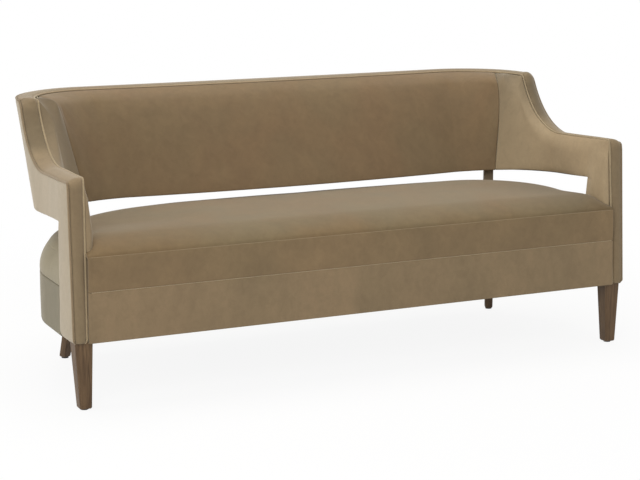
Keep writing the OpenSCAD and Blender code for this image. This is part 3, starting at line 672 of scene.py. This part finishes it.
def piping(name, colour):
    """Velvet drawn over a cord, lighter and darker in streaks along the slant of its bias cut."""
    n = Finish(name)
    slant = n.noise(420, (1, 1, 0.35), 2, 0.6, 0.3, (0.6, 0.5, 0.4))
    slant_tones = n.ramp(slant, (0.3, shade(colour, 0.86)), (0.7, shade(colour, 1.10)))
    n.colour(n.times(slant_tones, n.ramp(n.noise(14), (0.3, 0.93), (0.7, 1.06))))
    n.roughness(slant, 0.74, 0.92)
    n.bump(slant, 0.4, 0.0005)
    n.set(Sheen_Weight=0.35, Sheen_Roughness=0.4, Sheen_Tint=SHEEN_TINT, Specular_IOR_Level=0.2)
    return n.mat


# the cords are the covers' velvet in lighter tones, most of all the inner and back ones: painted highlight and
# sheen on their round crests
INNER_PIPING = piping("piping_inner", srgb(158, 141, 113))
BACK_PIPING = piping("piping_back", srgb(152, 133, 106))
OUTER_PIPING = piping("piping_outer", srgb(130, 113, 89))
THREAD = piping("thread", srgb(150, 132, 104))
LOW_THREAD = piping("thread_low", srgb(190, 172, 142))


def along_grain(grain_axis, across, along):
    """Stretch of a texture: across the grain, and along it on the grain's axis."""
    return [along if i == grain_axis else across for i in range(3)]


def wood(name, dark, light, gloss, grain_axis=2, coat=0.0):
    """Straight-grained wood: long pores, growth bands and slow changes of tone along the grain."""
    n = Finish(name)
    bands = n.noise(9, along_grain(grain_axis, 9, 0.7), 4, 0.55, 1.4)
    middle = tuple(mix(np.array(dark), np.array(light), 0.45))
    base = n.ramp(bands, (0.28, dark), (0.5, middle), (0.72, light))
    pores = n.noise(8, along_grain(grain_axis, 120, 4), 3, 0.7)
    c = n.times(base, n.ramp(pores, (0.36, 0.72), (0.50, 1.0)), 0.55)
    n.colour(n.times(c, n.ramp(n.noise(7, detail=2), (0.3, 0.92), (0.7, 1.08))))
    n.roughness(bands, gloss + 0.08, gloss - 0.05)
    n.bump(pores, 0.12, 0.0003)
    n.set(Coat_Weight=coat, Coat_Roughness=0.25, Specular_IOR_Level=0.25)
    return n.mat


WALNUT = wood("walnut", srgb(74, 56, 39), srgb(114, 91, 65), 0.5, coat=0.04)
# the rear posts: the legs' walnut made lighter, painted light on posts that stand in shade under the back
LIT_WALNUT_POST = wood("walnut_posts_lit", srgb(124, 106, 86), srgb(160, 142, 116), 0.5)
FRAME_WOOD = wood("frame_wood", srgb(176, 148, 106), srgb(208, 182, 138), 0.62, grain_axis=0)


def mottled(name, dark, light, scale, rough, metallic, bump, depth, stretch=(1, 1, 1)):
    """A fine mottled finish for steel, foam and plastic."""
    n = Finish(name)
    grain = n.noise(scale, stretch, 4, 0.65)
    slow = n.ramp(n.noise(11, detail=2), (0.3, 0.93), (0.7, 1.06))
    n.colour(n.times(n.ramp(grain, (0.3, dark), (0.7, light)), slow))
    n.roughness(grain, rough - 0.06, rough + 0.08)
    n.bump(grain, bump, depth)
    n.set(Metallic=metallic)
    return n.mat


STEEL = mottled("steel", srgb(128, 130, 134), srgb(176, 178, 182), 300, 0.34, 1.0, 0.05, 0.0002, (1, 1, 6))
FOAM = mottled("foam", srgb(226, 216, 176), srgb(242, 234, 200), 700, 0.92, 0, 0.5, 0.0008)
GLIDE = mottled("glide", srgb(34, 33, 32), srgb(52, 50, 48), 600, 0.55, 0, 0.1, 0.0002)


def woven(name, dark, light, pitch):
    """Plain weave: two sets of threads that pass over each other."""
    n = Finish(name)
    inputs = {"Scale": pitch, "Distortion": 0.6, "Detail": 1}
    waves = [n.new("TexWave", inputs, wave_type="BANDS", bands_direction=axis) for axis in "XY"]
    for w in waves:
        n.join(n.coords, w, "Vector")
    both = n.blend(*waves, 0.5)
    slow = n.ramp(n.noise(13), (0.3, 0.92), (0.7, 1.07))
    n.colour(n.times(n.ramp(both, (0.25, dark), (0.75, light)), slow))
    n.roughness(both, 0.95, 0.82, 0, 1)
    n.bump(both, 0.4, 0.0004)
    return n.mat


LINING = woven("lining", srgb(26, 26, 28), srgb(48, 47, 48), 260)
WEBBING = woven("webbing", srgb(132, 108, 66), srgb(190, 164, 116), 120)


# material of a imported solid, by what its name holds; the rest is velvet
SOLID_MATERIALS = (
    (STEEL, ("bolts", "seat_springs", "spring_clips")), (WALNUT, ("front_leg", "rear_leg")),
    (LINING, ("spring_cover", "dust_cover", "underside_strip")), (LIT_WALNUT_POST, ("rear_post",)),
    (GLIDE, ("glides",)), (WEBBING, ("webbing",)), (FOAM, ("foam",)),
    (FRAME_WOOD, ("rail", "frame", "stile_post", "stretchers", "corner_blocks", "uprights")))

for node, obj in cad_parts.items():
    obj.data.materials.clear()
    found = (m for m, parts in SOLID_MATERIALS if any(part in node for part in parts))
    obj.data.materials.append(next(found, PLAIN_VELVET))

# ---------------- panels of the band
SHARES = np.array([0, 0.012, 0.03, 0.06, *np.linspace(0.1, 0.86, 20),
                   0.885, 0.905, 0.922, 0.938, 0.952, 0.965, 0.976, 0.986, 0.994, 1])
SIM_SHARES = np.array([*np.linspace(0, 0.86, 15), 0.89, 0.92, 0.945, 0.965, 0.985, 1])
# the covers end under the piping, are this thick, and turn down by END_DEPTH at the seams of back and arms
PANEL_E, CLOTH_T, END_DEPTH = 3.2, 4, 0.5
# depth in layer() that stands for the inner skin, and depth at which the simulated panels are held
INNER, SIM_BACK = -0.001, 20


def puckers(along, away, seed, amount, reach=16.0, pitch=23.0):
    """Small gathers next to a seam: along and away in mm."""
    r = np.random.RandomState(seed)
    total = np.zeros_like(along)
    for _ in range(7):
        f = r.uniform(0.6, 1.7) / pitch
        total += np.sin(along * f * 2 * pi + r.uniform(0, 6.3)) * r.uniform(0.4, 1)
    return amount * total / 3 * np.exp(-away / reach) * np.clip(away / 3, 0, 1)


def arc_length(g, axis):
    """Distance of each point of a grid from its first row (axis 0) or column (axis 1), along the grid."""
    steps = np.linalg.norm(np.diff(g, axis=axis), axis=2)
    return np.insert(np.cumsum(steps, axis), 0, 0, axis)


def roll_edges(g, out, depth, seed, pucker=0.6, radius=9.0, ends=(True, True), rims=(True, True),
               end_depth=None):
    """Turns a panel down into the seams round it and adds the gathers along them.

    The ends are the first and last row, the rims the first and last column.
    """
    across, along = arc_length(g, 1), arc_length(g, 0)
    low, high = across, across[:, -1:] - across
    first, last = along, along[-1:] - along
    drop, gather = np.zeros((2, *g.shape[:2]))
    edges = (rims[0], low, along), (rims[1], high, along), (ends[0], first, across), (ends[1], last, across)
    for k, (turned, dist, run) in enumerate(edges):
        if turned:
            x = np.clip(1 - dist / radius, 0, 1)
            deep = depth if k < 2 or end_depth is None else end_depth
            drop = np.maximum(drop, deep * (1 - np.sqrt(np.clip(1 - x * x, 0, 1))))
            gather += puckers(run, dist, seed + k, pucker)
    return g + out * (gather - drop)[:, :, None]


def inwards(g, y0=250.0):
    """Ways from points towards the middle of the seat, for inner faces."""
    return np.stack([-g[:, :, 0], y0 - g[:, :, 1], 0 * g[:, :, 2]], 2)


def outwards(g, y0=250.0):
    return -inwards(g, y0)


def grid_of(vs, ts, d):
    return np.array([layer(v, ts, d, PANEL_E) for v in vs])


def whole(rows):
    """Both sides of the part from rows that start at its middle."""
    return np.concatenate([mirror(rows[:0:-1]), rows])


def sim_delta(name, vs, wide, pressure, cap, smooth):
    """Moves of a simulated panel, for the finer grid that is shown."""
    front, back = grid_of(vs, SIM_SHARES, INNER), grid_of(vs, SIM_SHARES, SIM_BACK)
    if wide:
        front, back = whole(front), whole(back)
    delta = inflate(name, front, back, pressure, cap, smooth)
    columns = np.interp(SHARES, SIM_SHARES, np.arange(len(SIM_SHARES)))
    return resample(delta, np.arange(len(front), dtype=float), columns)


def stations(start, *counts):
    """Stations from a whole number on: each count is for the way to the next one, shared ends come once."""
    parts = [np.linspace(start + i, start + i + 1, n)[min(i, 1):] for i, n in enumerate(counts)]
    return np.concatenate(parts)


BACK_VS, ARM_VS = stations(0, 46, 24), stations(2, 24, 14, 26, 18)
BAND_VS = np.concatenate([BACK_VS, ARM_VS[1:]])
BACK_N, ARM_N = len(BACK_VS), len(ARM_VS)
MIDDLE = BACK_N + ARM_N - 2
BACK_ROWS, ARM_ROWS = slice(MIDDLE - BACK_N + 1, MIDDLE + BACK_N), slice(MIDDLE + BACK_N - 1, None)
EVEN_ROUNDS = 40


def band_grid(d, back_delta=None, arm_delta=None):
    """One grid from stile to stile with its outward normals, so that panels meet exactly at their seams."""
    g = whole(grid_of(BAND_VS, SHARES, d))
    if back_delta is not None:
        g[BACK_ROWS] += back_delta
        g[ARM_ROWS] += arm_delta
        g[: ARM_N] += mirror(arm_delta)[::-1]
        # the cloth evens out where the corner's swell runs into the arm's, but not near the rims
        soft = ease((BAND_VS - 2) / 0.3) * ease((5.6 - BAND_VS) / 0.6)
        soft = 0.5 * np.concatenate([soft[:0:-1], soft])[1:-1, None, None]
        soft = soft * (ease(SHARES / 0.12) * ease((1 - SHARES) / 0.2))[None, 1:-1, None]
        for _ in range(EVEN_ROUNDS):
            g[1:-1, 1:-1] = mix(g[1:-1, 1:-1], (g[:-2, 1:-1] + g[2:, 1:-1]) / 2, soft)
    return g, facing(g, normals(g), inwards if d < 0 else outwards)


def back_cover(node, g, out, depth, seed, pucker, mat):
    n = out[BACK_ROWS]
    front = roll_edges(g[BACK_ROWS], n, depth, seed, pucker, end_depth=END_DEPTH)
    cover(node, node + "_cover", front, front - n * CLOTH_T, mat)


back_delta = sim_delta("back_sim", BACK_VS, True, 3.0, 5, 4)
arm_delta = sim_delta("arm_sim", ARM_VS, False, 1.5, 2, 12)
arm_delta[-1] *= 0
inner_grid, inner_out = band_grid(INNER, back_delta, arm_delta)
outer_grid, outer_out = band_grid(0)
back_cover("inside_back", inner_grid, inner_out, 0.7, 11, 0.6, PLAIN_VELVET)
back_cover("outside_back", outer_grid, outer_out, 2.4, 71, 0.3, LIT_OUTER_VELVET)


def l_panel(arm, stile, name):
    """One cover over the arm and down the stile: two grids that share a line of points."""
    n, m = arm.shape[:2]
    verts = np.concatenate([to_frame(arm), to_frame(stile)])
    faces = grid_faces(n, m) + grid_faces(*stile.shape[:2], start=n * m)
    obj = mesh_object(name, verts, faces)
    modifier(obj, "SOLIDIFY", thickness=CLOTH_T * MM, offset=-1.0)
    subdivide(obj)
    return obj


STILE_MIDDLE = 890


def soften_foot(g, reach=11.0, pull=6.0):
    """Rounds the lower end of a stile: points near it draw in towards the stile's middle."""
    g = g.copy()
    x = np.clip(1 - (g[..., 2] - BASE_HEIGHT) / reach, 0, 1)
    drop = pull * (1 - np.sqrt(np.clip(1 - x * x, 0, 1)))
    g[..., 0] -= np.clip((g[..., 0] - STILE_MIDDLE) / 25, -1, 1) * drop
    g[..., 1] += np.where(g[..., 1] < 40, drop, 0)
    return g


def pad_low(side, y):
    """Lower end of the stile's face: inside it tucks into the seat."""
    return BASE_HEIGHT if side else seat_z(842, y) - 8


# the stile's face: points of a row below the arm, how far under the top it starts to follow the arm's fall,
# and the rows from rear to front as shares of its depth
BELOW_ARM, TOP_FALL = 23, 30
STILE_ROWS = (1, 0.92, 0.8, 0.66, 0.52, 0.4, 0.3, 0.22, 0.15, 0.1, 0.065, 0.04, 0.022, 0.01, 0.003, 0)
# the inside of the stile is fullest here, by FULL mm more than the arm and over FULL_REACH mm
FULL_Z, FULL, FULL_REACH = 505, 8, 60


def stile_grid(side, arm_edge):
    """Face of the stile, which carries on from the arm's last line of points: its columns run upwards."""
    start, top = arm_edge[0][2], arm_edge[-1][2]
    rows = []
    for k in STILE_ROWS:
        low = pad_low(side, mix(stile_front(start) + PANEL_E, STILE_DEPTH, k))
        turn = sin(radians(90 * k))
        row = []
        for i, z in enumerate(np.concatenate([np.linspace(low, start, BELOW_ARM + 1)[:-1], arm_edge[:, 2]])):
            y = mix(stile_front(z) + PANEL_E, STILE_DEPTH, k)
            rear = arm_edge[max(i - BELOW_ARM, 0)][0]
            if i < BELOW_ARM:
                rear += skin(side, 4, z)[0] - skin(side, 4, start)[0]
                rear -= 0 if side else 2 * (1 - (z - low) / (start - low))
            if side:
                x = mix(stile_out(z), rear, turn ** 0.8) + 0.8 * sin(pi * k)
            else:
                share = (z - low) / (top - low)
                full = FULL * np.exp(-((z - FULL_Z) / FULL_REACH) ** 2)
                pad = skin(0, 4, z)[0] - float(swell(6, np.array(share), ARM_AHEAD[-1])) - full
                power = mix(0.22, 0.7, ease((share - 0.7) / 0.3))
                x = mix(stile_in(z), mix(pad, rear, ease((k - 0.5) / 0.5)), turn ** power)
            fall = (arm_z(side, y) - arm_z(side, STILE_DEPTH)) * max(0, z - top + TOP_FALL) / TOP_FALL
            row.append((x, y, z + fall))
        rows.append(row)
    return np.array(rows)


def arm_cover(side, grid, out, depth=2.4):
    """Grids of an arm's cover and of the stile's face that carries it on, for the right hand side."""
    stile = stile_grid(side, grid[-1])
    arm = roll_edges(grid[ARM_ROWS], out[ARM_ROWS], depth, 31 + side, ends=(True, False), end_depth=END_DEPTH)
    stile[0, BELOW_ARM:] = arm[-1]
    way = outwards if side else inwards
    s_out = facing(stile, normals(stile), lambda g: way(g, STILE_DEPTH / 2))
    if side:
        stile = soften_foot(stile)
    ends = (False, side == 1)
    stile = roll_edges(stile, s_out, depth, 51 + side, radius=5.0, ends=ends, rims=(False, True))
    stile[0, BELOW_ARM:] = arm[-1]
    return arm, stile


for side, kind, mat, fill, grid, out in ((0, "inside", ARM_VELVET, 0.7, inner_grid, inner_out),
                                         (1, "outside", LIT_OUTER_VELVET, 0.2, outer_grid, outer_out)):
    arm, stile = arm_cover(side, grid, out)
    for hand, a, b in (("right", arm, stile), ("left", mirror(arm), mirror(stile))):
        piece = l_panel(a, b, f"{kind}_arm_cover_{hand}")
        put(piece, mat, [f"{kind}_arm_{hand}"])


# ---------------- borders and piping
# the strip's points across, how far its edges lie in from the finished edge, and the turn beside the cords
STRIP_SHARES = (0, 0.03, 0.08, 0.16, 0.28, 0.42, 0.58, 0.72, 0.84, 0.92, 0.97, 1)
STRIP_INSET, STRIP_TURN, STRIP_DROP, STRIP_T = EDGE_T - 1.2, 7.0, 2.8, 5
# station behind the seat's front from which the strip has a flange, and the top corner's extra fullness
FLANGE_V, CORNER_V, CORNER_FULL = 8.445, 3.7, 8


def across_border(v):
    """Inner and outer finished edge of the border, its outward normal and the way across it."""
    i, ni = border_edge(0, v)
    o, no = border_edge(1, v)
    return i, o, unit(ni + no), unit(o - i)


def strip_rows(vs):
    """Border strip between the two cords, crowned across and turned down beside them."""
    rows = []
    for v in vs:
        i, o, n, w = across_border(v)
        a, b = i + w * STRIP_INSET, o - w * STRIP_INSET
        width = np.linalg.norm(b - a)
        flange = ease((v - FLANGE_V) / 0.03)
        row = [i + w * mix(3, -8, flange) - n * mix(5.5, 2.0, flange),
               i + w * mix(3.2, 1.5, flange) - n * mix(4.8, 1.4, flange)]
        full = STRIP_CROWN + CORNER_FULL * np.exp(-((v - CORNER_V) / 0.45) ** 2)
        for s in STRIP_SHARES:
            x = np.clip(1 - min(s, 1 - s) * width / STRIP_TURN, 0, 1)
            row.append(mix(a, b, s) + n * (full * sin(pi * s) ** 0.75 - STRIP_DROP * (1 - sqrt(1 - x * x))))
        rows.append(row)
    return soften_foot(np.array(rows))


def strip_piece(node, name, rows, seed):
    out = normals(rows)
    middle = rows.shape[1] // 2
    edge = (rows[:, 2] + rows[:, -1]) / 2
    out = out * np.sign((out[:, middle] * (rows[:, middle] - edge)).sum(1))[:, None, None]
    s = np.linspace(0, 1, rows.shape[1])
    away = np.minimum(s, 1 - s) * 60
    rows = rows + out * puckers(arc_length(rows, 0), away, seed, 0.45, 9, 19)[:, :, None]
    return cover(node, name, rows, rows - out * STRIP_T, STRIP_VELVET)


# the back's strip and the arm's meet at the mitre, with a hair between them
MITRE, HAIR = 3.345, 0.006
NOSE_VS = stations(6, 9, 9, 44)[1:]
STRIP_BACK_VS = np.concatenate([stations(0, 80, 20, 14), np.linspace(3, MITRE - HAIR, 6)[1:]])
STRIP_ARM_VS = np.concatenate([np.linspace(MITRE + HAIR, 4, 9), stations(4, 26, 20)[1:], NOSE_VS])
strip_piece("back_border", "back_border_strip", whole(strip_rows(STRIP_BACK_VS)), 3)
right = strip_piece("arm_border_right", "arm_border_strip_right", strip_rows(STRIP_ARM_VS), 5)
left = new_object("arm_border_strip_left", right.data.copy())
for p in left.data.vertices:
    p.co.x = -p.co.x
left.data.flip_normals()
left.data.materials.clear()
subdivide(left)
put(left, STRIP_VELVET, ["arm_border_left"])

CORD_R, CORD_SIDES, CORD_RISE = WELT_D / 2 + 0.35, 12, 0.8


def cord_rings(side, vs):
    rings = []
    for v in vs:
        i, o, n, w = across_border(v)
        c = (i + w * BEAD if side == 0 else o - w * BEAD) - n * (BEAD - CORD_RISE)
        rings.append([c + CORD_R * (cos(a) * w - sin(a) * n) for a in turns(CORD_SIDES)])
    return soften_foot(np.array(rings))


WELT_BACK_VS, WELT_ARM_VS = stations(0, 80, 24), np.concatenate([stations(2, 22, 16, 30, 20), NOSE_VS])
for side, kind, mat, back_mat in ((0, "inner", INNER_PIPING, BACK_PIPING),
                                  (1, "outer", OUTER_PIPING, OUTER_PIPING)):
    back, right = whole(cord_rings(side, WELT_BACK_VS)), cord_rings(side, WELT_ARM_VS)
    for part, rings, m in (("back", back, back_mat), ("right", right, mat), ("left", mirror(right), mat)):
        obj = mesh_object(f"{kind}_piping_{part}", to_frame(rings), tube_faces(*rings.shape[:2]))
        put(obj, m, [f"{kind}_welt_{part}"])


# ---------------- seat
def seat_half_width(y, inset):
    """Half of the seat's width at y, inset mm in from its outline."""
    if y <= SIDE_END:
        return HALF_WIDTH - inset
    return HALF_WIDTH - SEAT_CORNER + sqrt(max(0, (SEAT_CORNER - inset) ** 2 - (y - SIDE_END) ** 2))


SAG = 7


def seat_sag(x, y, w):
    """How much lower the cover lies towards the rear left corner than on the right, as in the photo."""
    return SAG * ease((-x - 380) / 300) * ease((y - 120) / 150) * ease((w + x) / 60)


def seat_surface():
    """Grid of the seat top: rows from front to rear, columns from left to right."""
    ys = [3.0, 4.2, 5.6, 7.2, 9, 11.5, 15, 19, *np.linspace(24, STILE_DEPTH - 3, 16)]
    ys += [*np.linspace(STILE_DEPTH + 3, SIDE_END, 14)]
    r = SEAT_CORNER - TOP_INSET
    ys += [SIDE_END + r * sin(a) for a in np.linspace(0, pi / 2, 56)[1:]]
    cols = np.linspace(-1, 1, 201)
    cols = np.sign(cols) * (1 - (1 - np.abs(cols)) ** 1.3)
    rows = []
    for y in ys:
        w = stile_in(UPPER_SEAM) + 1 if y < STILE_DEPTH else seat_half_width(y, TOP_INSET)
        rows.append([(c * w, y, seat_z(c * w, y) - seat_sag(c * w, y, w)) for c in cols])
    return np.array(rows)


# the simulation sees every second row and third column, and this share of its moves is kept
ROW_STEP, COL_STEP, SEAT_SHARE = 2, 3, 0.4
SEAT_SIM_T, SEAT_T = (0, 0, 60), (0, 0, 8)

seat = seat_surface()
coarse = seat[::ROW_STEP, ::COL_STEP]
delta = inflate("seat_sim", coarse, coarse - SEAT_SIM_T, 2.5, 5, 8) * SEAT_SHARE
seat = seat + resample(delta, np.arange(seat.shape[0]) / ROW_STEP, np.arange(seat.shape[1]) / COL_STEP)
seat_n = facing(seat, normals(seat), lambda g: np.array([0, 0, 1]))
seat = roll_edges(seat, seat_n, 2.0, 91, 0.9, radius=7.0, ends=(True, False), rims=(False, False))
cover("seat_top", "seat_top_cover", seat, seat - SEAT_T, SEAT_VELVET, rounded=False)

PANEL_SHARES = (0, 0.015, 0.04, 0.08, 0.15, 0.25, 0.37, 0.5, 0.63, 0.75, 0.85, 0.92, 0.96, 0.985, 1)
# columns of a front panel, and how far back its ends return, as shares of the depth there
PANEL_COLS, RETURNS = 181, (1, 0.6, 0.2)


def front_panel(node, z0, z1, bulge, seed, mat):
    """Panel of the seat's front with ends that return to the stiles."""
    n = len(RETURNS)
    xs = np.concatenate([[-1] * n, np.linspace(-1, 1, PANEL_COLS), [1] * n])
    back = np.concatenate([RETURNS, np.zeros(PANEL_COLS), RETURNS[::-1]])
    line = [(stile_in(z) - 0.3, -bulge * sin(pi * t) ** 0.8, min(stile_front(z) + 1.5, 14), z)
            for t, z in ((t, mix(z0, z1, t)) for t in PANEL_SHARES)]
    g = np.array([[(x * half, y + r * deep, z) for half, y, deep, z in line] for x, r in zip(xs, back)])
    inward = np.zeros_like(g) + (0, 1, 0)
    g = roll_edges(g, -inward, 1.3, seed, 0.5, radius=5.0, ends=(False, False))
    inward[:n], inward[-n:] = (1, 0, 0), (-1, 0, 0)
    cover(node, node + "_cover", g, g + inward * (COVER_T - 0.5), mat)


front_panel("boxing_front", LOWER_SEAM + 0.1, UPPER_SEAM, 2.0, 101, FRONT_VELVET)
front_panel("lower_band_front", BASE_HEIGHT, LOWER_SEAM - 0.1, 0.8, 103, BAND_VELVET)


def surround(node, section, seed, mat, rims=(True, True)):
    """Cover round the sides and rear of the seat, from stile to stile.

    section gives the (inset, height) of its points where the seat's roll has a given width.
    """
    centre = HALF_WIDTH - SEAT_CORNER
    rows = [[(HALF_WIDTH - inset, y, h) for inset, h in section(side_roll(y))]
            for y in np.linspace(STILE_DEPTH + 3, SIDE_END, 14)]
    for a in np.linspace(0, 90, 50)[1:]:
        c, s = cos(radians(a)), sin(radians(a))
        rows.append([(centre + (SEAT_CORNER - inset) * c, SIDE_END + (SEAT_CORNER - inset) * s, h)
                     for inset, h in section(arc_roll(a))])
    for x in np.linspace(centre, 0, 40)[1:]:
        rows.append([(x, SEAT_DEPTH - inset, h) for inset, h in section(ROLL_REAR)])
    rows = np.array(rows)
    g = np.concatenate([rows, mirror(rows[-2::-1])])
    out = facing(g, normals(g), outwards)
    g = roll_edges(g, out, 2.2, seed, 0.4, radius=5.0, ends=(False, False), rims=rims)
    cover(node, node + "_cover", g, g - out * CLOTH_T, mat, rounded=False)


def boxing_section(w):
    """The boxing rolls up over the seat's shoulder and ends under the rim of the top."""
    insets = (0.1, 0.3, 0.7, 1.3, 2.2, 3.4, 5, 7, 9.5, 12.5, 16, 19.5, 23, 26)
    row = [(0, LOWER_SEAM + h) for h in (0.3, 2, 5, 8)] + [(i, side_z(i, w)) for i in insets]
    return row + [(i, side_z(i, w) - under) for i, under in ((29, 1.0), (33, 4))]


def band_section(_):
    """The lower band stands upright, a little full in the middle."""
    tall = LOWER_SEAM - GAP - BASE_HEIGHT
    hs = (0, 1.5, 4, *np.linspace(9, 137, 12), 141, tall - 1, tall)
    return [(0.2 - 0.8 * sin(pi * h / tall), BASE_HEIGHT + h) for h in hs]


surround("boxing_surround", boxing_section, 111, LIT_SIDE_VELVET, rims=(True, False))
surround("lower_band_surround", band_section, 113, LIT_BASE_VELVET)

# ---------------- foam inside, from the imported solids
# how far the foam keeps clear of the covers, and how much further near the top corners of the arms, in m
CLEAR, CORNER_CLEAR, CORNER_REACH, TOP_CORNER = 0.003, 0.013, 0.09, Vector((0.82, 0.09, 0.745))

for node in ("seat_foam", "back_foam", "arm_foam_left", "arm_foam_right"):
    pad = new_object(node + "_core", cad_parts[node].data.copy())
    modifier(pad, "BEVEL", width=0.002, segments=2)
    pad.data.materials.clear()
    shape = bmesh.new()
    shape.from_mesh(pad.data)
    shape.normal_update()
    extra = CORNER_CLEAR if node.startswith("arm") else 0
    for v in shape.verts:
        away = (Vector((abs(v.co.x), v.co.y, v.co.z)) - TOP_CORNER).length
        v.co -= v.normal * (CLEAR + extra * exp(-(away / CORNER_REACH) ** 2))
    shape.to_mesh(pad.data)
    shape.free()
    put(pad, FOAM, [node])


# ---------------- stitches of the two front seams
PITCH, STITCH, STITCH_R = 7.0, 5.6, 0.9


def stitches(name, z, y, mat):
    """Threads of a seam: short rounded stitches in one mesh."""
    verts, faces = [], []
    end = stile_in(z) - 9
    x = -end
    while x < end:
        faces += tube_faces(5, 6, len(verts))
        for u in np.linspace(0, 1, 5):
            r = STITCH_R * (0.35 + 0.65 * sin(pi * (0.12 + 0.76 * u)))
            verts += [(x + STITCH * u, y - 0.2 - r * sin(a), z + r * cos(a)) for a in turns(6)]
        x += PITCH
    put(mesh_object(name, to_frame(np.array(verts)), faces), mat)


stitches("upper_seam_stitches", UPPER_SEAM + 0.2, 1.6, THREAD)
stitches("lower_seam_stitches", LOWER_SEAM, 0.6, LOW_THREAD)

# ---------------- camera, floor and light
AZIMUTH, ELEVATION, DISTANCE, FOCAL_PX = radians(-25.28), radians(11.395), 5.4532, 1743.9
IMAGE_WIDTH, SENSOR = 640, 36
TARGET = Vector((-0.0109, (320 - DEPTH / 2) * MM, 0.3578))


def aim(name, data, at, target):
    """Puts a camera or a lamp in the scene, turned towards a point."""
    obj = new_object(name, data)
    obj.location = at
    obj.rotation_mode = "QUATERNION"
    obj.rotation_quaternion = (Vector(target) - Vector(at)).to_track_quat("-Z", "Y")
    return obj


cam_data = bpy.data.cameras.new("camera")
cam_data.sensor_width = SENSOR
cam_data.lens = FOCAL_PX / IMAGE_WIDTH * SENSOR
cam_data.clip_start, cam_data.clip_end = 0.1, 100
back_dir = Vector((sin(AZIMUTH) * cos(ELEVATION), -cos(AZIMUTH) * cos(ELEVATION), sin(ELEVATION)))
bpy.context.scene.camera = aim("camera", cam_data, TARGET + back_dir * DISTANCE, TARGET)


def seen_directly(n):
    """1 where a camera, glossy or transmission ray looks, for the white of the backdrop."""
    path = n.new("LightPath")
    either = n.math("MAXIMUM", path, path, "Is Camera Ray", "Is Glossy Ray")
    return n.math("MAXIMUM", either, path, b_out="Is Transmission Ray")


def mixed(n, share, plain, white):
    """Joins a plain shader and, by the share, a white one to the output."""
    m = n.new("MixShader")
    for source, socket in ((share, "Fac"), (plain, 1), (white, 2)):
        n.join(source, m, socket)
    n.join(m, n.out, "Surface")


FLOOR_SIZE, FLOOR_COLOUR, WHITE = 30, (0.86, 0.86, 0.86, 1), (1, 1, 1, 1)
corners = [(x * FLOOR_SIZE, y * FLOOR_SIZE, 0) for x, y in ((-1, -1), (1, -1), (1, 1), (-1, 1))]
floor = mesh_object("floor", corners, [(0, 1, 2, 3)])
floor_mat = bpy.data.materials.new("floor")
floor_mat.use_nodes = True
n = Nodes(floor_mat.node_tree)
# share of plain white in what the camera sees of the floor: less under the part, where the shadow lies
length = n.new("VectorMath", operation="LENGTH")
n.join(n.new("TexCoord"), length, 0)
far = n.map_range(length, 0.6, 2.4, 0.90, 1.0, output="Value", smooth=True)
mixed(n, n.math("MULTIPLY", seen_directly(n), far), n.new("BsdfDiffuse", {"Color": FLOOR_COLOUR}),
      n.new("Emission", {"Color": WHITE}))
floor.data.materials.append(floor_mat)

world = bpy.data.worlds.new("world")
world.use_nodes = True
bpy.context.scene.world = world
n = Nodes(world.node_tree, "OutputWorld")
mixed(n, seen_directly(n), n.new("Background", {"Color": (1.0, 0.99, 0.97, 1), "Strength": 0.42}),
      n.new("Background", {"Color": WHITE}))

for name, at, target_z, size, power in (("key", (-2.6, -3.6, 3.0), 0.4, 3.2, 105),
                                        ("side", (-4.6, 0.4, 2.0), 0.4, 2.6, 45),
                                        ("fill", (3.6, -3.4, 2.2), 0.4, 3.0, 28),
                                        ("top", (0.0, 0.8, 4.4), 0.5, 3.0, 92)):
    light = bpy.data.lights.new(name, "AREA")
    light.shape, light.size, light.energy, light.color = "DISK", size, power, (1, 0.98, 0.95)
    aim(name, light, at, (0, 0, target_z))

scene = bpy.context.scene
scene.view_settings.view_transform = "Standard"
scene.frame_set(1)
